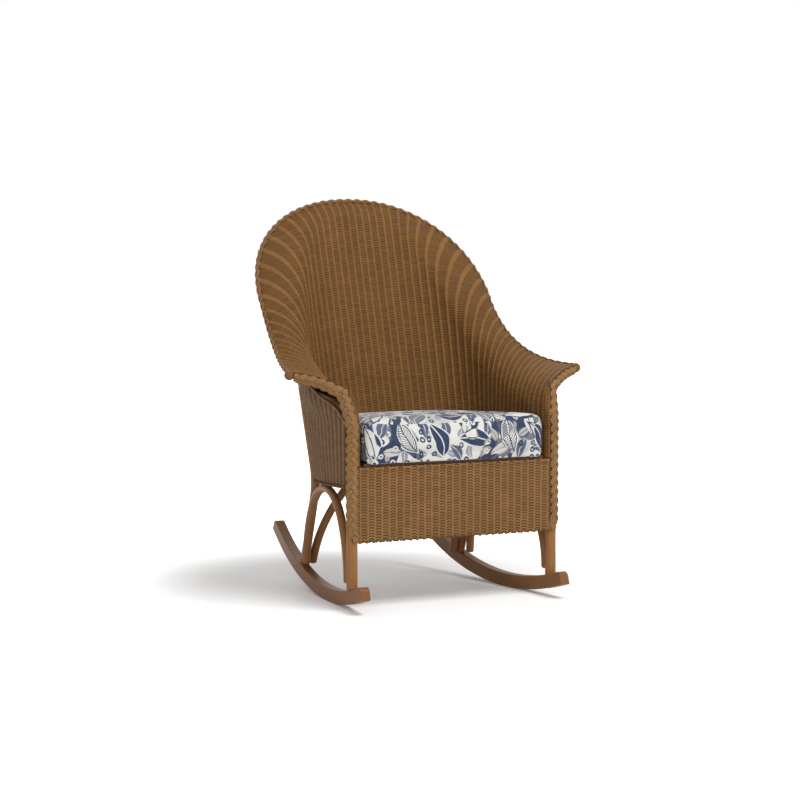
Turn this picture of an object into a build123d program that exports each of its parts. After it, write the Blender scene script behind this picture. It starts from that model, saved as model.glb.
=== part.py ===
from build123d import *
import os
from bisect import bisect_right
from math import asin, atan2, cos, degrees, exp, pi, radians, sin, sqrt, tan

# Rocking chair: a flared, woven bucket on a frame of bent poles and two curved runners.
# Millimetres. +Z is up, the sitter faces -Y, and +X is the sitter's left. While the chair
# is drawn, the runners touch the floor at y = 0; the pieces are then moved along Y as one,
# so that the origin lies on the floor under the middle of the chair's box.

# ---------------------------------------------------------------- driving dimensions
GAP = 0.3                    # clearance between pieces that seat on each other

# runners
RUNNER_RADIUS = 857.0        # radius of the underside
RUNNER_HEIGHT = 36.0
RUNNER_WIDTH = 27.0
RUNNER_FRONT = 258.0         # reach of the underside ahead of the floor contact
RUNNER_REAR = 457.0          # reach of the underside behind it
RUNNER_NOSE = 14.0           # rounding of the upper corner at each end
RUNNER_EASE = 2.0            # chamfer along the flanks' edges
TOE_IN = 5.1                 # degrees, the runners close in towards the rear

# front legs
LEG_DIAMETER = 28.0
LEG_Y = -177.0
LEG_ROOM = 7.65              # between the leg and the arm's wall
LEG_OUTSET = 7.8             # how far its axis stands outside the runner's middle
LEG_TOP = 490.0

# rear posts
POST_DIAMETER = 24.0
POST_FOOT_Y = 231.0
POST_INSET = 6.0             # how far its foot stands inside the runner's middle
POST_KNEE_Y = 152.0
POST_KNEE_Z = 292.0
POST_TOP_Z = 716.0
POST_TOP_RUN = 377.0         # place on the plan that the post's top stands behind
POST_BEND = 150.0            # bend radius at the knee

# arches under the seat
ARCH_DIAMETER = 22.0
ARCH_END = 6.0               # rounding of an arch's ends
SIDE_ARCH_LIFT = 1.5         # height of the side arch's ends over the runner at the post
SIDE_ARCH_LIMB = 268.0       # bend radius of the limbs
SIDE_ARCH_CROWN = 150.0      # bend radius of the crown
SIDE_ARCH_LEAD = 27.0        # degrees, where the rear limb passes the post, from dead ahead
BACK_ARCH_DROP = 4.0         # how far the back arch's ends hang below the runner's top
BACK_ARCH_LIMB = 390.0
BACK_ARCH_ROOM = 14.0        # between its crown and the deck

# arm rails, from the leg's top to the post
ARM_RAIL_DIAMETER = 24.0
ARM_RAIL_START_Z = 478.0
ARM_RAIL_RISE_Y = -95.0
ARM_RAIL_RISE_Z = 515.0
ARM_RAIL_MID_Y = 70.0
ARM_RAIL_MID_Z = 532.0
ARM_RAIL_END_Z = 548.0
UPPER_RAIL_DIAMETER = 18.0
UPPER_RAIL_Z = 698.0
UPPER_RAIL_END = 20.0        # how far it runs past each post
UPPER_RAIL_SEAT = 1.7        # room between the rail's bends and the wall

# seat frame and deck
DECK_TOP = 371.0
DECK_THICKNESS = 6.0
FRONT_RAIL_DEPTH = 20.0
FRONT_RAIL_SET = 9.0         # how far the front rail's face stands ahead of the legs' axes
SEAT_RAIL_HEIGHT = 22.0
HOOP_WIDTH = 19.0

# plan of the seat at the height PLAN_Z
PLAN_Z = 495.0
SEAT_HALF = 264.0            # half the width between the arms at the front
SIDE_FRONT = -177.0          # front edge of the arms
CORNER_Y = 95.0              # where the straight sides turn into the back
BACK_Y = 268.0               # the back at PLAN_Z
CORNER_POWER = 2.5           # superellipse power of the rear corners
SIDE_TAPER = 0.071           # narrowing of the plan from its front to its back, as a share
BACK_LEAN = 0.292            # backward lean of the back, mm per mm of height
LEAN_FROM = 189.0            # runs along the plan between which the lean sets in
LEAN_TO = 469.0
BACK_FAN = 0.05              # widening of the back from PLAN_Z to the rim's top, as a share

# rim of the shell
TIP_REACH = 160.0            # reach of the arm's tip outside the plan's side
TIP_Y = -88.0
TIP_Z = 600.0
SPRING_REACH = 87.0          # where the round head of the back springs from the arm
SPRING_Z = 770.0
RIM_TOP = 1050.0
RIM_ROLL = 28.0              # how far the rim rolls back behind the plane of the back
WING_WRAP = 108.0            # how far the wings come forward at the spring
WING_POWER = 1.15            # how quickly the wings swing back towards the head
HEAD_POWER = 2.1             # superellipse power of the head
ARM_PULL = (-38.0, 140.0, 0.0)     # the rim's run as it leaves the tip
WING_PULL = (-4.0, 95.0, 130.0)    # the rim's run as it meets the spring
WEAVE_THICKNESS = 4.5

# flare: height under the rim in which the wall turns outward
ARM_FLARE = 102.0
WING_FLARE = 60.0            # added round the wings
WING_RUN = 349.0             # where along the plan it is added, and how far it spreads
WING_SPREAD = 90.0
HEAD_FLARE = 57.0            # taken off along the head
HEAD_FROM = 369.0            # runs along the plan between which it is taken off
HEAD_TO = 629.0
RIM_RISE = 0.06              # upward turn of the weave at the rim of the arms
HEAD_RISE = 0.9              # added to it along the head
RISE_FROM = 319.0
RISE_TO = 589.0
WALL_PULL = 0.55             # share of the flare's height that keeps the wall's line
RIM_PULL = 0.5               # share of the flare's width that keeps the rim's line
RIB_CROWDING = 1.55          # ribs stand closer where they fan out from the rear corner
CORNER_RUN = 384.0           # where along the plan they do, and how far it spreads
CORNER_SPREAD = 105.0

# rim hoop and its bound trim
RIM_ROD_DIAMETER = 7.0
TRIM_DIAMETER = 12.0
TRIM_SEAT = 1.0              # room between the weave's edge and the trim

# panels
RIB_PITCH = 20.3
APRON_BOTTOM = 176.0
APRON_TOP = 366.0
APRON_ROLL_DIAMETER = 10.0
SCALLOP_DEPTH = 5.0
PANEL_FRONT_BOTTOM = 314.0
PANEL_REAR_BOTTOM = 296.0
PANEL_BOW = 7.0
PANEL_SEAT = 1.0             # room under the arm rail
REAR_APRON_BOTTOM = 305.0
REAR_APRON_REACH = 330.0     # half its length along the seat's plan, before the posts cut it

# braid down the arm and the leg
BRAID_WIDTH = 34.0
BRAID_THICKNESS = 6.0
BRAID_CURL = 4.0             # how far its edges curl back
BRAID_BOTTOM = 172.0
ARM_SWEEP = 52.0             # degrees, how far the arm's front edge runs back

# cushion
CUSHION_HEIGHT = 112.0
CUSHION_FRONT_Y = -200.0
CUSHION_ROUND = 40.0         # rounding of its corners in plan
CUSHION_EDGE = 34.0          # rounding of its upper and lower edges
CUSHION_EASE = 2.5           # room between cushion and wall

# screws up through the runners into the legs and posts
SCREW_DIAMETER = 6.0
SCREW_HEAD = 12.0
SCREW_LENGTH = 60.0
SCREW_SINK = 3.0             # depth of the heads in the runner's underside
SCREW_MOUTH = 0.5            # straight rim of a head
SCREW_GAP = 0.2

# ---------------------------------------------------------------- values that follow
LEG_RADIUS = LEG_DIAMETER / 2
POST_RADIUS = POST_DIAMETER / 2
ARCH_RADIUS = ARCH_DIAMETER / 2
WEAVE_HALF = WEAVE_THICKNESS / 2
DECK_BOTTOM = DECK_TOP - DECK_THICKNESS
LOWEST_WALL = DECK_BOTTOM + GAP + WEAVE_HALF * BACK_LEAN
FRONT_RAIL_FACE = LEG_Y - FRONT_RAIL_SET
FRONT_RAIL_BACK = FRONT_RAIL_FACE + FRONT_RAIL_DEPTH
APRON_BACK = FRONT_RAIL_FACE - GAP
TOE = tan(radians(TOE_IN))
LEG_X = SEAT_HALF + WEAVE_HALF + LEG_ROOM + LEG_RADIUS
TRACK_HALF = LEG_X - LEG_OUTSET + TOE * LEG_Y
RUNNER_INNER = RUNNER_RADIUS - RUNNER_HEIGHT
POST_X = TRACK_HALF - TOE * POST_FOOT_Y - POST_INSET
TIP_X = SEAT_HALF + TIP_REACH
SPRING_X = SEAT_HALF + SPRING_REACH
RUN_SHARE = 0.45             # share of a run that a bend may take
SKIN_TOLERANCE = 0.2         # how near a skin runs to its points


def runner_top(y):
    """Height of a runner's upper face over the floor at the distance y from the contact."""
    return RUNNER_RADIUS - sqrt(RUNNER_INNER**2 - y * y)


def smooth_step(low, high, value):
    """0 below low, 1 above high, and an even S between them."""
    share = min(max((value - low) / (high - low), 0.0), 1.0)
    return share * share * (3 - 2 * share)


def blend4(p0, p1, p2, p3, t):
    """Point t of the cubic Bezier curve over four points."""
    u = 1 - t
    return p0 * u**3 + p1 * (3 * u * u * t) + p2 * (3 * u * t * t) + p3 * t**3


class Track:
    """A curve of many points that is read by the length run along it."""

    def __init__(self, points):
        self.points = points
        self.runs = [0.0]
        for here, there in zip(points, points[1:]):
            self.runs.append(self.runs[-1] + (there - here).length)
        self.length = self.runs[-1]

    def at(self, run):
        run = min(max(run, 0.0), self.length)
        index = min(bisect_right(self.runs, run) - 1, len(self.points) - 2)
        share = (run - self.runs[index]) / (self.runs[index + 1] - self.runs[index])
        return self.points[index] + (self.points[index + 1] - self.points[index]) * share


# ---------------------------------------------------------------- the shell as a formula
def make_plan():
    """Left half of the seat's plan, from the arm's front edge to the middle of the back."""
    points = [Vector(SEAT_HALF, SIDE_FRONT + (CORNER_Y - SIDE_FRONT) * i / 30) for i in range(30)]
    for i in range(61):
        turn = pi / 2 * i / 60
        x = SEAT_HALF * max(cos(turn), 0.0) ** (2 / CORNER_POWER)
        y = CORNER_Y + (BACK_Y - CORNER_Y) * sin(turn) ** (2 / CORNER_POWER)
        points.append(Vector(x, y))
    depth = BACK_Y - SIDE_FRONT
    return Track([Vector(p.X * (1 - SIDE_TAPER * (p.Y - SIDE_FRONT) / depth), p.Y) for p in points])


def make_rim():
    """Left half of the rim, from the arm's tip to the top of the head."""
    def head(turn):
        x = SPRING_X * max(cos(turn), 0.0) ** (2 / HEAD_POWER)
        z = SPRING_Z + (RIM_TOP - SPRING_Z) * sin(turn) ** (2 / HEAD_POWER)
        y = BACK_Y + BACK_LEAN * (z - PLAN_Z) + RIM_ROLL - WING_WRAP * (1 - sin(turn)) ** WING_POWER
        return Vector(x, y, z)

    tip = Vector(TIP_X, TIP_Y, TIP_Z)
    spring = head(0)
    leave = tip + Vector(*ARM_PULL)
    arrive = spring - Vector(*WING_PULL)
    arm = [blend4(tip, leave, arrive, spring, i / 40) for i in range(40)]
    return Track(arm + [head(pi / 2 * i / 60) for i in range(61)])


PLAN = make_plan()
RIM = make_rim()


def bump(run, middle, spread):
    """1 at the middle, falling off evenly to both sides."""
    return exp(-(((run - middle) / spread) ** 2))


def make_rib_spacing(steps=400):
    """Running total of how fast the rim passes while the plan is walked."""
    totals = [0.0]
    for i in range(steps):
        run = PLAN.length * (i + 0.5) / steps
        totals.append(totals[-1] + 1 + RIB_CROWDING * bump(run, CORNER_RUN, CORNER_SPREAD))
    return totals


RIB_SPACING = make_rib_spacing()


def rim_run(run):
    """Length along the rim that the rib from this place of the plan ends at."""
    place = run / PLAN.length * (len(RIB_SPACING) - 1)
    index = min(int(place), len(RIB_SPACING) - 2)
    total = RIB_SPACING[index] + (RIB_SPACING[index + 1] - RIB_SPACING[index]) * (place - index)
    return RIM.length * total / RIB_SPACING[-1]


def wall(run, z):
    """Point of the unflared wall over the place run of the plan."""
    base = PLAN.at(run)
    lean = BACK_LEAN * smooth_step(LEAN_FROM, LEAN_TO, run) * (z - PLAN_Z)
    fan = 1 + BACK_FAN * (z - PLAN_Z) / (RIM_TOP - PLAN_Z)
    return Vector(base.X * fan, base.Y + lean, z)


def flare_height(run):
    wing = WING_FLARE * bump(run, WING_RUN, WING_SPREAD)
    return ARM_FLARE + wing - HEAD_FLARE * smooth_step(HEAD_FROM, HEAD_TO, run)


def rim_outward(run):
    """Direction in which the weave arrives at the rim."""
    edge = RIM.at(rim_run(run))
    start = wall(run, edge.Z - flare_height(run))
    flat = Vector(edge.X - start.X, edge.Y - start.Y)
    rise = RIM_RISE + HEAD_RISE * smooth_step(RISE_FROM, RISE_TO, run)
    return (flat.normalized() + Vector(0, 0, rise)).normalized()


def rib(run, share):
    """Point of the rib over the place run: share 0 to 1 up the wall, 1 to 2 out to the rim."""
    outward = rim_outward(run)
    edge = RIM.at(rim_run(run)) - outward * (TRIM_DIAMETER + TRIM_SEAT)
    height = edge.Z - flare_height(run)
    start = wall(run, height)
    if share <= 1:
        foot = wall(run, LOWEST_WALL)
        return foot + (start - foot) * share
    leave = start + (wall(run, height + 1) - start) * (WALL_PULL * flare_height(run))
    width = Vector(edge.X - start.X, edge.Y - start.Y).length
    return blend4(start, leave, edge - outward * (RIM_PULL * width), edge, share - 1)


def sided(point, side):
    return Vector(point.X * side, point.Y, point.Z)


def wall_normal(run, z):
    """Outward unit normal of the wall."""
    along = wall(run + 1, z) - wall(run - 1, z)
    up = wall(run, z + 1) - wall(run, z)
    return along.cross(up).normalized()


def seat_point(q, offset, level):
    """Plan of the wall at a level, q mm round from the middle of the back, moved outward."""
    run = PLAN.length - abs(q)
    along = (wall(run + 1, level) - wall(run - 1, level)).normalized()
    place = wall(run, level) + Vector(along.Y, -along.X) * offset
    return Vector(place.X * (1 if q >= 0 else -1), place.Y)


# ---------------------------------------------------------------- shared operations
def bent_path(points):
    """Straight runs through the points, with each bend as large as its runs allow."""
    radii = []
    for before, here, after in zip(points, points[1:], points[2:]):
        half_turn = radians((here - before).get_angle(after - here)) / 2
        radii.append(RUN_SHARE * min((here - before).length, (after - here).length) / tan(half_turn))
    return FilletPolyline(*points, radius=radii)


def smooth_path(points):
    """Bent path whose arcs follow the smooth curve through the points."""
    pushed = [points[0]]
    for before, here, after in zip(points, points[1:], points[2:]):
        pushed.append(here - (after - here * 2 + before) / 8)
    return bent_path(pushed + [points[-1]])


def pole(path, diameter, bore=0.0):
    """Round rod, or tube where a bore is given, along a path."""
    section = Circle(diameter / 2)
    if bore:
        section -= Circle(bore / 2)
    return sweep(Plane(origin=path @ 0, z_dir=path % 0) * section, path=path)


def round_ends(rod, radius):
    """Rounds the two flat ends of a rod."""
    ends = [face for face in rod.faces() if face.geom_type == GeomType.PLANE]
    return fillet([edge for face in ends for edge in face.edges()], radius)


def grid_normal(grid, i, j):
    """Unit normal of a grid of points at one of them."""
    rows, columns = len(grid) - 1, len(grid[0]) - 1
    down = grid[min(i + 1, rows)][j] - grid[max(i - 1, 0)][j]
    across = grid[i][min(j + 1, columns)] - grid[i][max(j - 1, 0)]
    return down.cross(across).normalized()


def sheet(grid, thickness):
    """Closed smooth sheet about a grid of points, with half its thickness on each side."""
    skins = []
    for side in (thickness / 2, -thickness / 2):
        moved = []
        for i, row in enumerate(grid):
            moved.append([point + grid_normal(grid, i, j) * side for j, point in enumerate(row)])
        skins.append(Face.make_surface_from_array_of_points(moved, tol=SKIN_TOLERANCE))
    rims = []
    for edge in skins[0].edges():
        partner = min(skins[1].edges(), key=lambda other: (other.center() - edge.center()).length)
        rims.append(Face.make_surface_from_curves(edge, partner))
    return Solid(Shell(skins + rims))


def band(inner, outer, half, bottom, top):
    """Upright band that follows the wall's foot, half long to each side of its middle."""
    steps = 24
    places = [half * (2 * i / steps - 1) for i in range(steps + 1)]
    outside = Spline([seat_point(q, outer, DECK_BOTTOM) for q in places])
    inside = Spline([seat_point(q, inner, DECK_BOTTOM) for q in places])
    ends = [Line(outside @ 0, inside @ 0), Line(outside @ 1, inside @ 1)]
    return Pos(0, 0, bottom) * extrude(make_face([outside, inside] + ends), top - bottom)


def seat_outline(offset, front):
    """Closed outline of the seat, inset by an offset and run forward to y = front."""
    steps = 30
    reach = PLAN.length - 1
    places = [reach * (2 * i / steps - 1) for i in range(steps + 1)]
    back = Spline([seat_point(q, offset, DECK_BOTTOM) for q in places])
    right = Vector((back @ 0).X, front)
    left = Vector((back @ 1).X, front)
    return make_face([back, Line(back @ 0, right), Line(right, left), Line(left, back @ 1)])


def mirrored(shape):
    return mirror(shape, about=Plane.YZ)


# ---------------------------------------------------------------- frame
def place_on_track(shape):
    """Turns a piece that is drawn along Y by the toe-in and moves it to the left contact."""
    return Pos(TRACK_HALF, 0, 0) * Rot(0, 0, TOE_IN) * shape


def turned_screw(extra, mouth):
    """Countersunk screw along +Z, its head's face at z = -mouth, thicker all round by extra."""
    head = SCREW_HEAD / 2 + extra
    shank = SCREW_DIAMETER / 2 + extra
    length = SCREW_LENGTH + extra
    taper = [(head, -mouth), (head, 0), (shank, head - shank), (shank, length)]
    outline = Polyline((0, -mouth), *taper, (0, length))
    return revolve(Plane.XZ * make_face([outline, Line((0, length), (0, -mouth))]), Axis.Z)


def make_screw():
    return turned_screw(0, SCREW_MOUTH)


def screw_bore():
    return turned_screw(SCREW_GAP, 4 * SCREW_SINK)


def screw_places():
    """Places of the left pair of screws, midway between each pole's axis and the runner's."""
    post_rise = POST_KNEE_Z - runner_top(POST_FOOT_Y)
    post_lean = atan2(POST_FOOT_Y - POST_KNEE_Y, post_rise)
    places = []
    for pole_x, y, lean in ((LEG_X, LEG_Y, 0.0), (POST_X, POST_FOOT_Y, post_lean)):
        x = (pole_x + TRACK_HALF - TOE * y) / 2
        below = y + RUNNER_HEIGHT * tan(lean)
        underside = RUNNER_RADIUS - sqrt(RUNNER_RADIUS**2 - below * below)
        places.append(Pos(x, below, underside + SCREW_SINK) * Rot(degrees(lean), 0, 0))
    return places


def make_runner():
    """Left runner: a bent flat bar with a rounded nose at each end, bored for its screws."""
    middle = (0, RUNNER_RADIUS)
    front = degrees(asin(RUNNER_FRONT / RUNNER_RADIUS))
    rear = degrees(asin(RUNNER_REAR / RUNNER_RADIUS))
    under = CenterArc(middle, RUNNER_RADIUS, -90 - front, front + rear)
    upper = CenterArc(middle, RUNNER_INNER, -90 - front, front + rear)
    ends = [Line(under @ 0, upper @ 0), Line(under @ 1, upper @ 1)]
    side = make_face([under, upper] + ends)
    noses = [v for v in side.vertices() if (Vector(v) - Vector(*middle)).length < RUNNER_INNER + 1]
    side = fillet(noses, RUNNER_NOSE)
    bar = extrude(Plane.YZ * side, RUNNER_WIDTH / 2, both=True)
    flanks = bar.faces().filter_by(GeomType.PLANE).sort_by(SortBy.AREA)[-2:]
    bar = place_on_track(chamfer([edge for flank in flanks for edge in flank.edges()], RUNNER_EASE))
    for place in screw_places():
        bar = bar - place * screw_bore()
    return bar


def over_runner(rod):
    """Shapes the foot of a rod to the hollow of the left runner's upper face."""
    hollow = Cylinder(RUNNER_INNER - GAP, 4 * TRACK_HALF, rotation=(0, 90, 0))
    return rod & (place_on_track(Pos(0, 0, RUNNER_RADIUS) * hollow))


def make_front_leg():
    leg = over_runner(Pos(LEG_X, LEG_Y, LEG_TOP / 2) * Cylinder(LEG_RADIUS, LEG_TOP))
    return leg - screw_places()[0] * screw_bore()


def post_points():
    """Bend points of the left rear post, the first one a little below the runner's top."""
    knee = Vector(POST_X, POST_KNEE_Y, POST_KNEE_Z)
    foot = Vector(POST_X, POST_FOOT_Y, runner_top(POST_FOOT_Y))
    below = foot + (foot - knee).normalized() * POST_DIAMETER
    stand_off = WEAVE_HALF + UPPER_RAIL_SEAT + UPPER_RAIL_DIAMETER + GAP + POST_RADIUS
    at_rail = wall(POST_TOP_RUN, UPPER_RAIL_Z) + wall_normal(POST_TOP_RUN, UPPER_RAIL_Z) * stand_off
    top = knee + (at_rail - knee) * ((POST_TOP_Z - knee.Z) / (at_rail.Z - knee.Z))
    return below, knee, top


def make_post():
    """Left rear post: it rises forward from the runner, bends, and leans back up the shell."""
    path = FilletPolyline(*post_points(), radius=POST_BEND)
    post = over_runner(pole(path, POST_DIAMETER))
    top = post.faces().sort_by(Axis.Z)[-1]
    post = fillet(top.edges(), ARCH_END)
    return post - screw_places()[1] * screw_bore()


def post_at(z):
    """Point of the left post's straight upper or lower part at the height z."""
    below, knee, top = post_points()
    end = top if z > knee.Z else below
    return knee + (end - knee) * ((z - knee.Z) / (end.Z - knee.Z))


def arch_path(half_span, limb, crown):
    """Three-centred arch on the plane's x axis: two limb arcs and one crown arc."""
    height = crown + sqrt(crown**2 - half_span**2 + 2 * limb * (half_span - crown))
    turn = degrees(atan2(height - crown, limb - half_span))
    first = JernArc((half_span, 0), (0, 1), limb, turn)
    second = JernArc(first @ 1, first % 1, crown, 180 - 2 * turn)
    third = JernArc(second @ 1, second % 1, limb, turn)
    return Wire([first, second, third])


def make_side_arch():
    """Left side arch: its front limb stands behind the leg, its rear one ahead of the post."""
    leg_reach = LEG_RADIUS + ARCH_RADIUS + GAP
    post_reach = POST_RADIUS + ARCH_RADIUS + GAP
    foot_z = runner_top(POST_FOOT_Y) + SIDE_ARCH_LIFT - post_reach * tan(radians(TOE_IN))
    lean = atan2(POST_FOOT_Y - POST_KNEE_Y, POST_KNEE_Z - runner_top(POST_FOOT_Y))
    post = post_at(foot_z + SIDE_ARCH_LIMB * sin(lean))
    ahead = post_reach * cos(radians(SIDE_ARCH_LEAD)) - SIDE_ARCH_LIMB * (1 - cos(lean))
    rear = Vector(post.X + post_reach * sin(radians(SIDE_ARCH_LEAD)), post.Y - ahead, foot_z)
    front = Vector(LEG_X, LEG_Y + leg_reach, foot_z)
    along = rear - front
    plane = Plane(origin=(front + rear) / 2, x_dir=along, z_dir=(along.Y, -along.X, 0))
    path = plane * arch_path(along.length / 2, SIDE_ARCH_LIMB, SIDE_ARCH_CROWN)
    return round_ends(pole(path, ARCH_DIAMETER), ARCH_END)


def make_back_arch():
    """Arch across the back, which leans forward with the lower parts of the posts."""
    rise = POST_KNEE_Z - runner_top(POST_FOOT_Y)
    lean = atan2(POST_FOOT_Y - POST_KNEE_Y, rise)
    half_span = POST_X - POST_RADIUS - ARCH_RADIUS - 2 * GAP
    foot = post_at(runner_top(POST_FOOT_Y) - BACK_ARCH_DROP)
    height = (DECK_BOTTOM - BACK_ARCH_ROOM - ARCH_RADIUS - foot.Z) / cos(lean)
    square = 2 * BACK_ARCH_LIMB * half_span - half_span**2 - height**2
    crown = square / (2 * (BACK_ARCH_LIMB - height))
    plane = Plane(origin=(0, foot.Y, foot.Z), x_dir=(1, 0, 0), z_dir=(0, -cos(lean), -sin(lean)))
    path = plane * arch_path(half_span, BACK_ARCH_LIMB, crown)
    return round_ends(pole(path, ARCH_DIAMETER), ARCH_END)


def arm_rail_path():
    """Line of the left arm rail, from the leg's axis up and back to the post's axis."""
    start = Vector(LEG_X, LEG_Y, ARM_RAIL_START_Z)
    rise = Vector(LEG_X, ARM_RAIL_RISE_Y, ARM_RAIL_RISE_Z)
    middle = Vector(LEG_X, ARM_RAIL_MID_Y, ARM_RAIL_MID_Z)
    return bent_path([start, rise, middle, post_at(ARM_RAIL_END_Z)])


def arm_rail_height(y):
    """Height of the arm rail's line at the distance y from the runners' contact."""
    path = arm_rail_path()
    low, high = 0.0, 1.0
    for _ in range(20):
        middle = (low + high) / 2
        if (path @ middle).Y < y:
            low = middle
        else:
            high = middle
    return (path @ low).Z


def make_arm_rail():
    """Left arm rail under the flare, coped to the leg and to the post."""
    rail = pole(arm_rail_path(), ARM_RAIL_DIAMETER)
    leg = Pos(LEG_X, LEG_Y, ARM_RAIL_START_Z) * Cylinder(LEG_RADIUS + GAP, 4 * ARM_RAIL_DIAMETER)
    return (rail - leg - post_clearance()[0]).solids().sort_by(SortBy.VOLUME)[-1]


def make_upper_rail():
    """Rail round the outside of the back, between the shell and the posts' tops."""
    offset = WEAVE_HALF + UPPER_RAIL_SEAT + UPPER_RAIL_DIAMETER / 2
    steps = 12
    points = []
    for i in range(steps + 1):
        q = (PLAN.length - POST_TOP_RUN + UPPER_RAIL_END) * (2 * i / steps - 1)
        run = PLAN.length - abs(q)
        place = wall(run, UPPER_RAIL_Z) + wall_normal(run, UPPER_RAIL_Z) * offset
        points.append(sided(place, 1 if q >= 0 else -1))
    return round_ends(pole(smooth_path(points), UPPER_RAIL_DIAMETER), ARCH_END)


# ---------------------------------------------------------------- seat
def make_front_rail(room=0.0):
    """Front seat rail between the legs, larger all round by a clearance where one is given."""
    length = 2 * (LEG_X - LEG_RADIUS - GAP + room)
    box = Box(length, FRONT_RAIL_DEPTH + 2 * room, SEAT_RAIL_HEIGHT + 2 * room)
    return Pos(0, (FRONT_RAIL_FACE + FRONT_RAIL_BACK) / 2, DECK_BOTTOM - SEAT_RAIL_HEIGHT / 2) * box


def post_clearance():
    """The two posts, thicker by the gap, to cope what runs against them."""
    path = FilletPolyline(*post_points(), radius=POST_BEND)
    left = pole(path, POST_DIAMETER + 2 * GAP)
    return [left, mirrored(left)]


def make_seat_hoop():
    """Bent rail round the sides and back of the seat, coped to the posts."""
    half = PLAN.length - (FRONT_RAIL_BACK - SIDE_FRONT)
    hoop = band(WEAVE_HALF - HOOP_WIDTH, WEAVE_HALF, half, DECK_BOTTOM - SEAT_RAIL_HEIGHT, DECK_BOTTOM)
    return hoop - post_clearance() - make_front_rail(GAP)


def make_deck():
    """Flat board under the cushion, which lies on the front rail and the hoop."""
    board = seat_outline(-WEAVE_HALF - GAP, FRONT_RAIL_FACE)
    return Pos(0, 0, DECK_BOTTOM) * extrude(board, DECK_THICKNESS)


def make_cushion():
    """Loose seat cushion: a soft-edged block that fills the seat's plan."""
    block = extrude(seat_outline(-WEAVE_HALF - CUSHION_EASE, CUSHION_FRONT_Y), CUSHION_HEIGHT)
    corners = block.edges().filter_by(Axis.Z)
    block = fillet(corners, CUSHION_ROUND)
    rims = [face.outer_wire().edges() for face in block.faces().filter_by(Axis.Z)]
    block = fillet([edge for wire in rims for edge in wire], CUSHION_EDGE)
    return Pos(0, 0, DECK_TOP + GAP) * block


# ---------------------------------------------------------------- weave
def make_shell():
    """Inner wall, back and flare in one sheet: a grid of ribs from arm tip to arm tip."""
    columns, rows, samples = 30, 14, 80
    grid = []
    for i in range(-columns, columns + 1):
        run = PLAN.length * (1 - abs(i) / columns)
        line = Track([rib(run, 2 * j / samples) for j in range(samples + 1)])
        grid.append([sided(line.at(line.length * j / rows), 1 if i >= 0 else -1) for j in range(rows + 1)])
    return sheet(grid, WEAVE_THICKNESS)


def rim_line():
    """Centre line of the rim's rod, from the right arm's tip over the head to the left one."""
    steps = 10
    half = []
    for i in range(steps + 1):
        run = PLAN.length * rim_place(i / steps)
        half.append(RIM.at(rim_run(run)) - rim_outward(run) * (TRIM_DIAMETER / 2))
    head = Vector(0, half[-1].Y, half[-1].Z)
    return [sided(p, -1) for p in half[:-1]] + [head] + half[-2::-1]


def rim_place(share):
    """Place on the plan, as a share of its length, whose rib ends at this share of the rim."""
    low, high = 0.0, 1.0
    for _ in range(40):
        middle = (low + high) / 2
        if rim_run(PLAN.length * middle) < RIM.length * share:
            low = middle
        else:
            high = middle
    return (low + high) / 2


def make_rim_rod():
    return pole(smooth_path(rim_line()), RIM_ROD_DIAMETER)


def make_rim_trim():
    """Bound edge: a tube of weave round the rod."""
    return pole(smooth_path(rim_line()), TRIM_DIAMETER, RIM_ROD_DIAMETER + 2 * GAP)


def make_side_panel():
    """Left outer panel between leg and post, under the arm rail."""
    rows, columns = 4, 10
    grid = []
    for i in range(columns + 1):
        share = i / columns
        bottom = PANEL_FRONT_BOTTOM + (PANEL_REAR_BOTTOM - PANEL_FRONT_BOTTOM) * share
        rail_y = LEG_Y + (post_at(ARM_RAIL_END_Z).Y - LEG_Y) * share
        top = arm_rail_height(rail_y) - ARM_RAIL_DIAMETER / 2 - PANEL_SEAT
        column = []
        for j in range(rows + 1):
            z = bottom + (top - bottom) * j / rows
            post = post_at(z)
            front = Vector(LEG_X + LEG_RADIUS + WEAVE_HALF + GAP, LEG_Y, z)
            rear = Vector(post.X + POST_RADIUS + WEAVE_HALF + GAP, post.Y, z)
            bow = Vector(PANEL_BOW * 4 * share * (1 - share), 0, 0)
            column.append(front + (rear - front) * share + bow)
        grid.append(column)
    return sheet(grid, WEAVE_THICKNESS)


def make_front_apron():
    """Front apron: upright ribs on a sheet whose lower edge is scalloped rib by rib."""
    lip = BRAID_THICKNESS / 2 * sin(atan2(2 * BRAID_CURL, BRAID_WIDTH / 2))
    half = LEG_X - BRAID_WIDTH / 2 - lip - GAP
    count = int(2 * half / RIB_PITCH)
    pitch = 2 * half / count
    corners = [(half, APRON_BOTTOM), (half, APRON_TOP), (-half, APRON_TOP), (-half, APRON_BOTTOM)]
    outline = list(Polyline(*corners).edges())
    for i in range(count):
        left = -half + pitch * i
        low = (left + pitch / 2, APRON_BOTTOM - SCALLOP_DEPTH)
        outline.append(ThreePointArc((left, APRON_BOTTOM), low, (left + pitch, APRON_BOTTOM)))
    face = Plane(origin=(0, APRON_BACK, 0), x_dir=(1, 0, 0), z_dir=(0, -1, 0)) * make_face(outline)
    roll = Cylinder(APRON_ROLL_DIAMETER / 2, 2 * half, rotation=(0, 90, 0))
    return extrude(face, WEAVE_THICKNESS) + Pos(0, APRON_BACK - APRON_ROLL_DIAMETER / 2, APRON_TOP) * roll


def make_rear_apron():
    """Skirt of weave below the back, on the outside of the seat hoop."""
    inner = WEAVE_HALF + GAP
    skirt = band(inner, inner + WEAVE_THICKNESS, REAR_APRON_REACH, REAR_APRON_BOTTOM, DECK_BOTTOM)
    return (skirt - post_clearance()).solids().sort_by(SortBy.VOLUME)[-1]


def make_front_braid():
    """Left braid: down the arm's front edge from the tip, then down the leg."""
    return sheet(braid_grid(), BRAID_THICKNESS)


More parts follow.
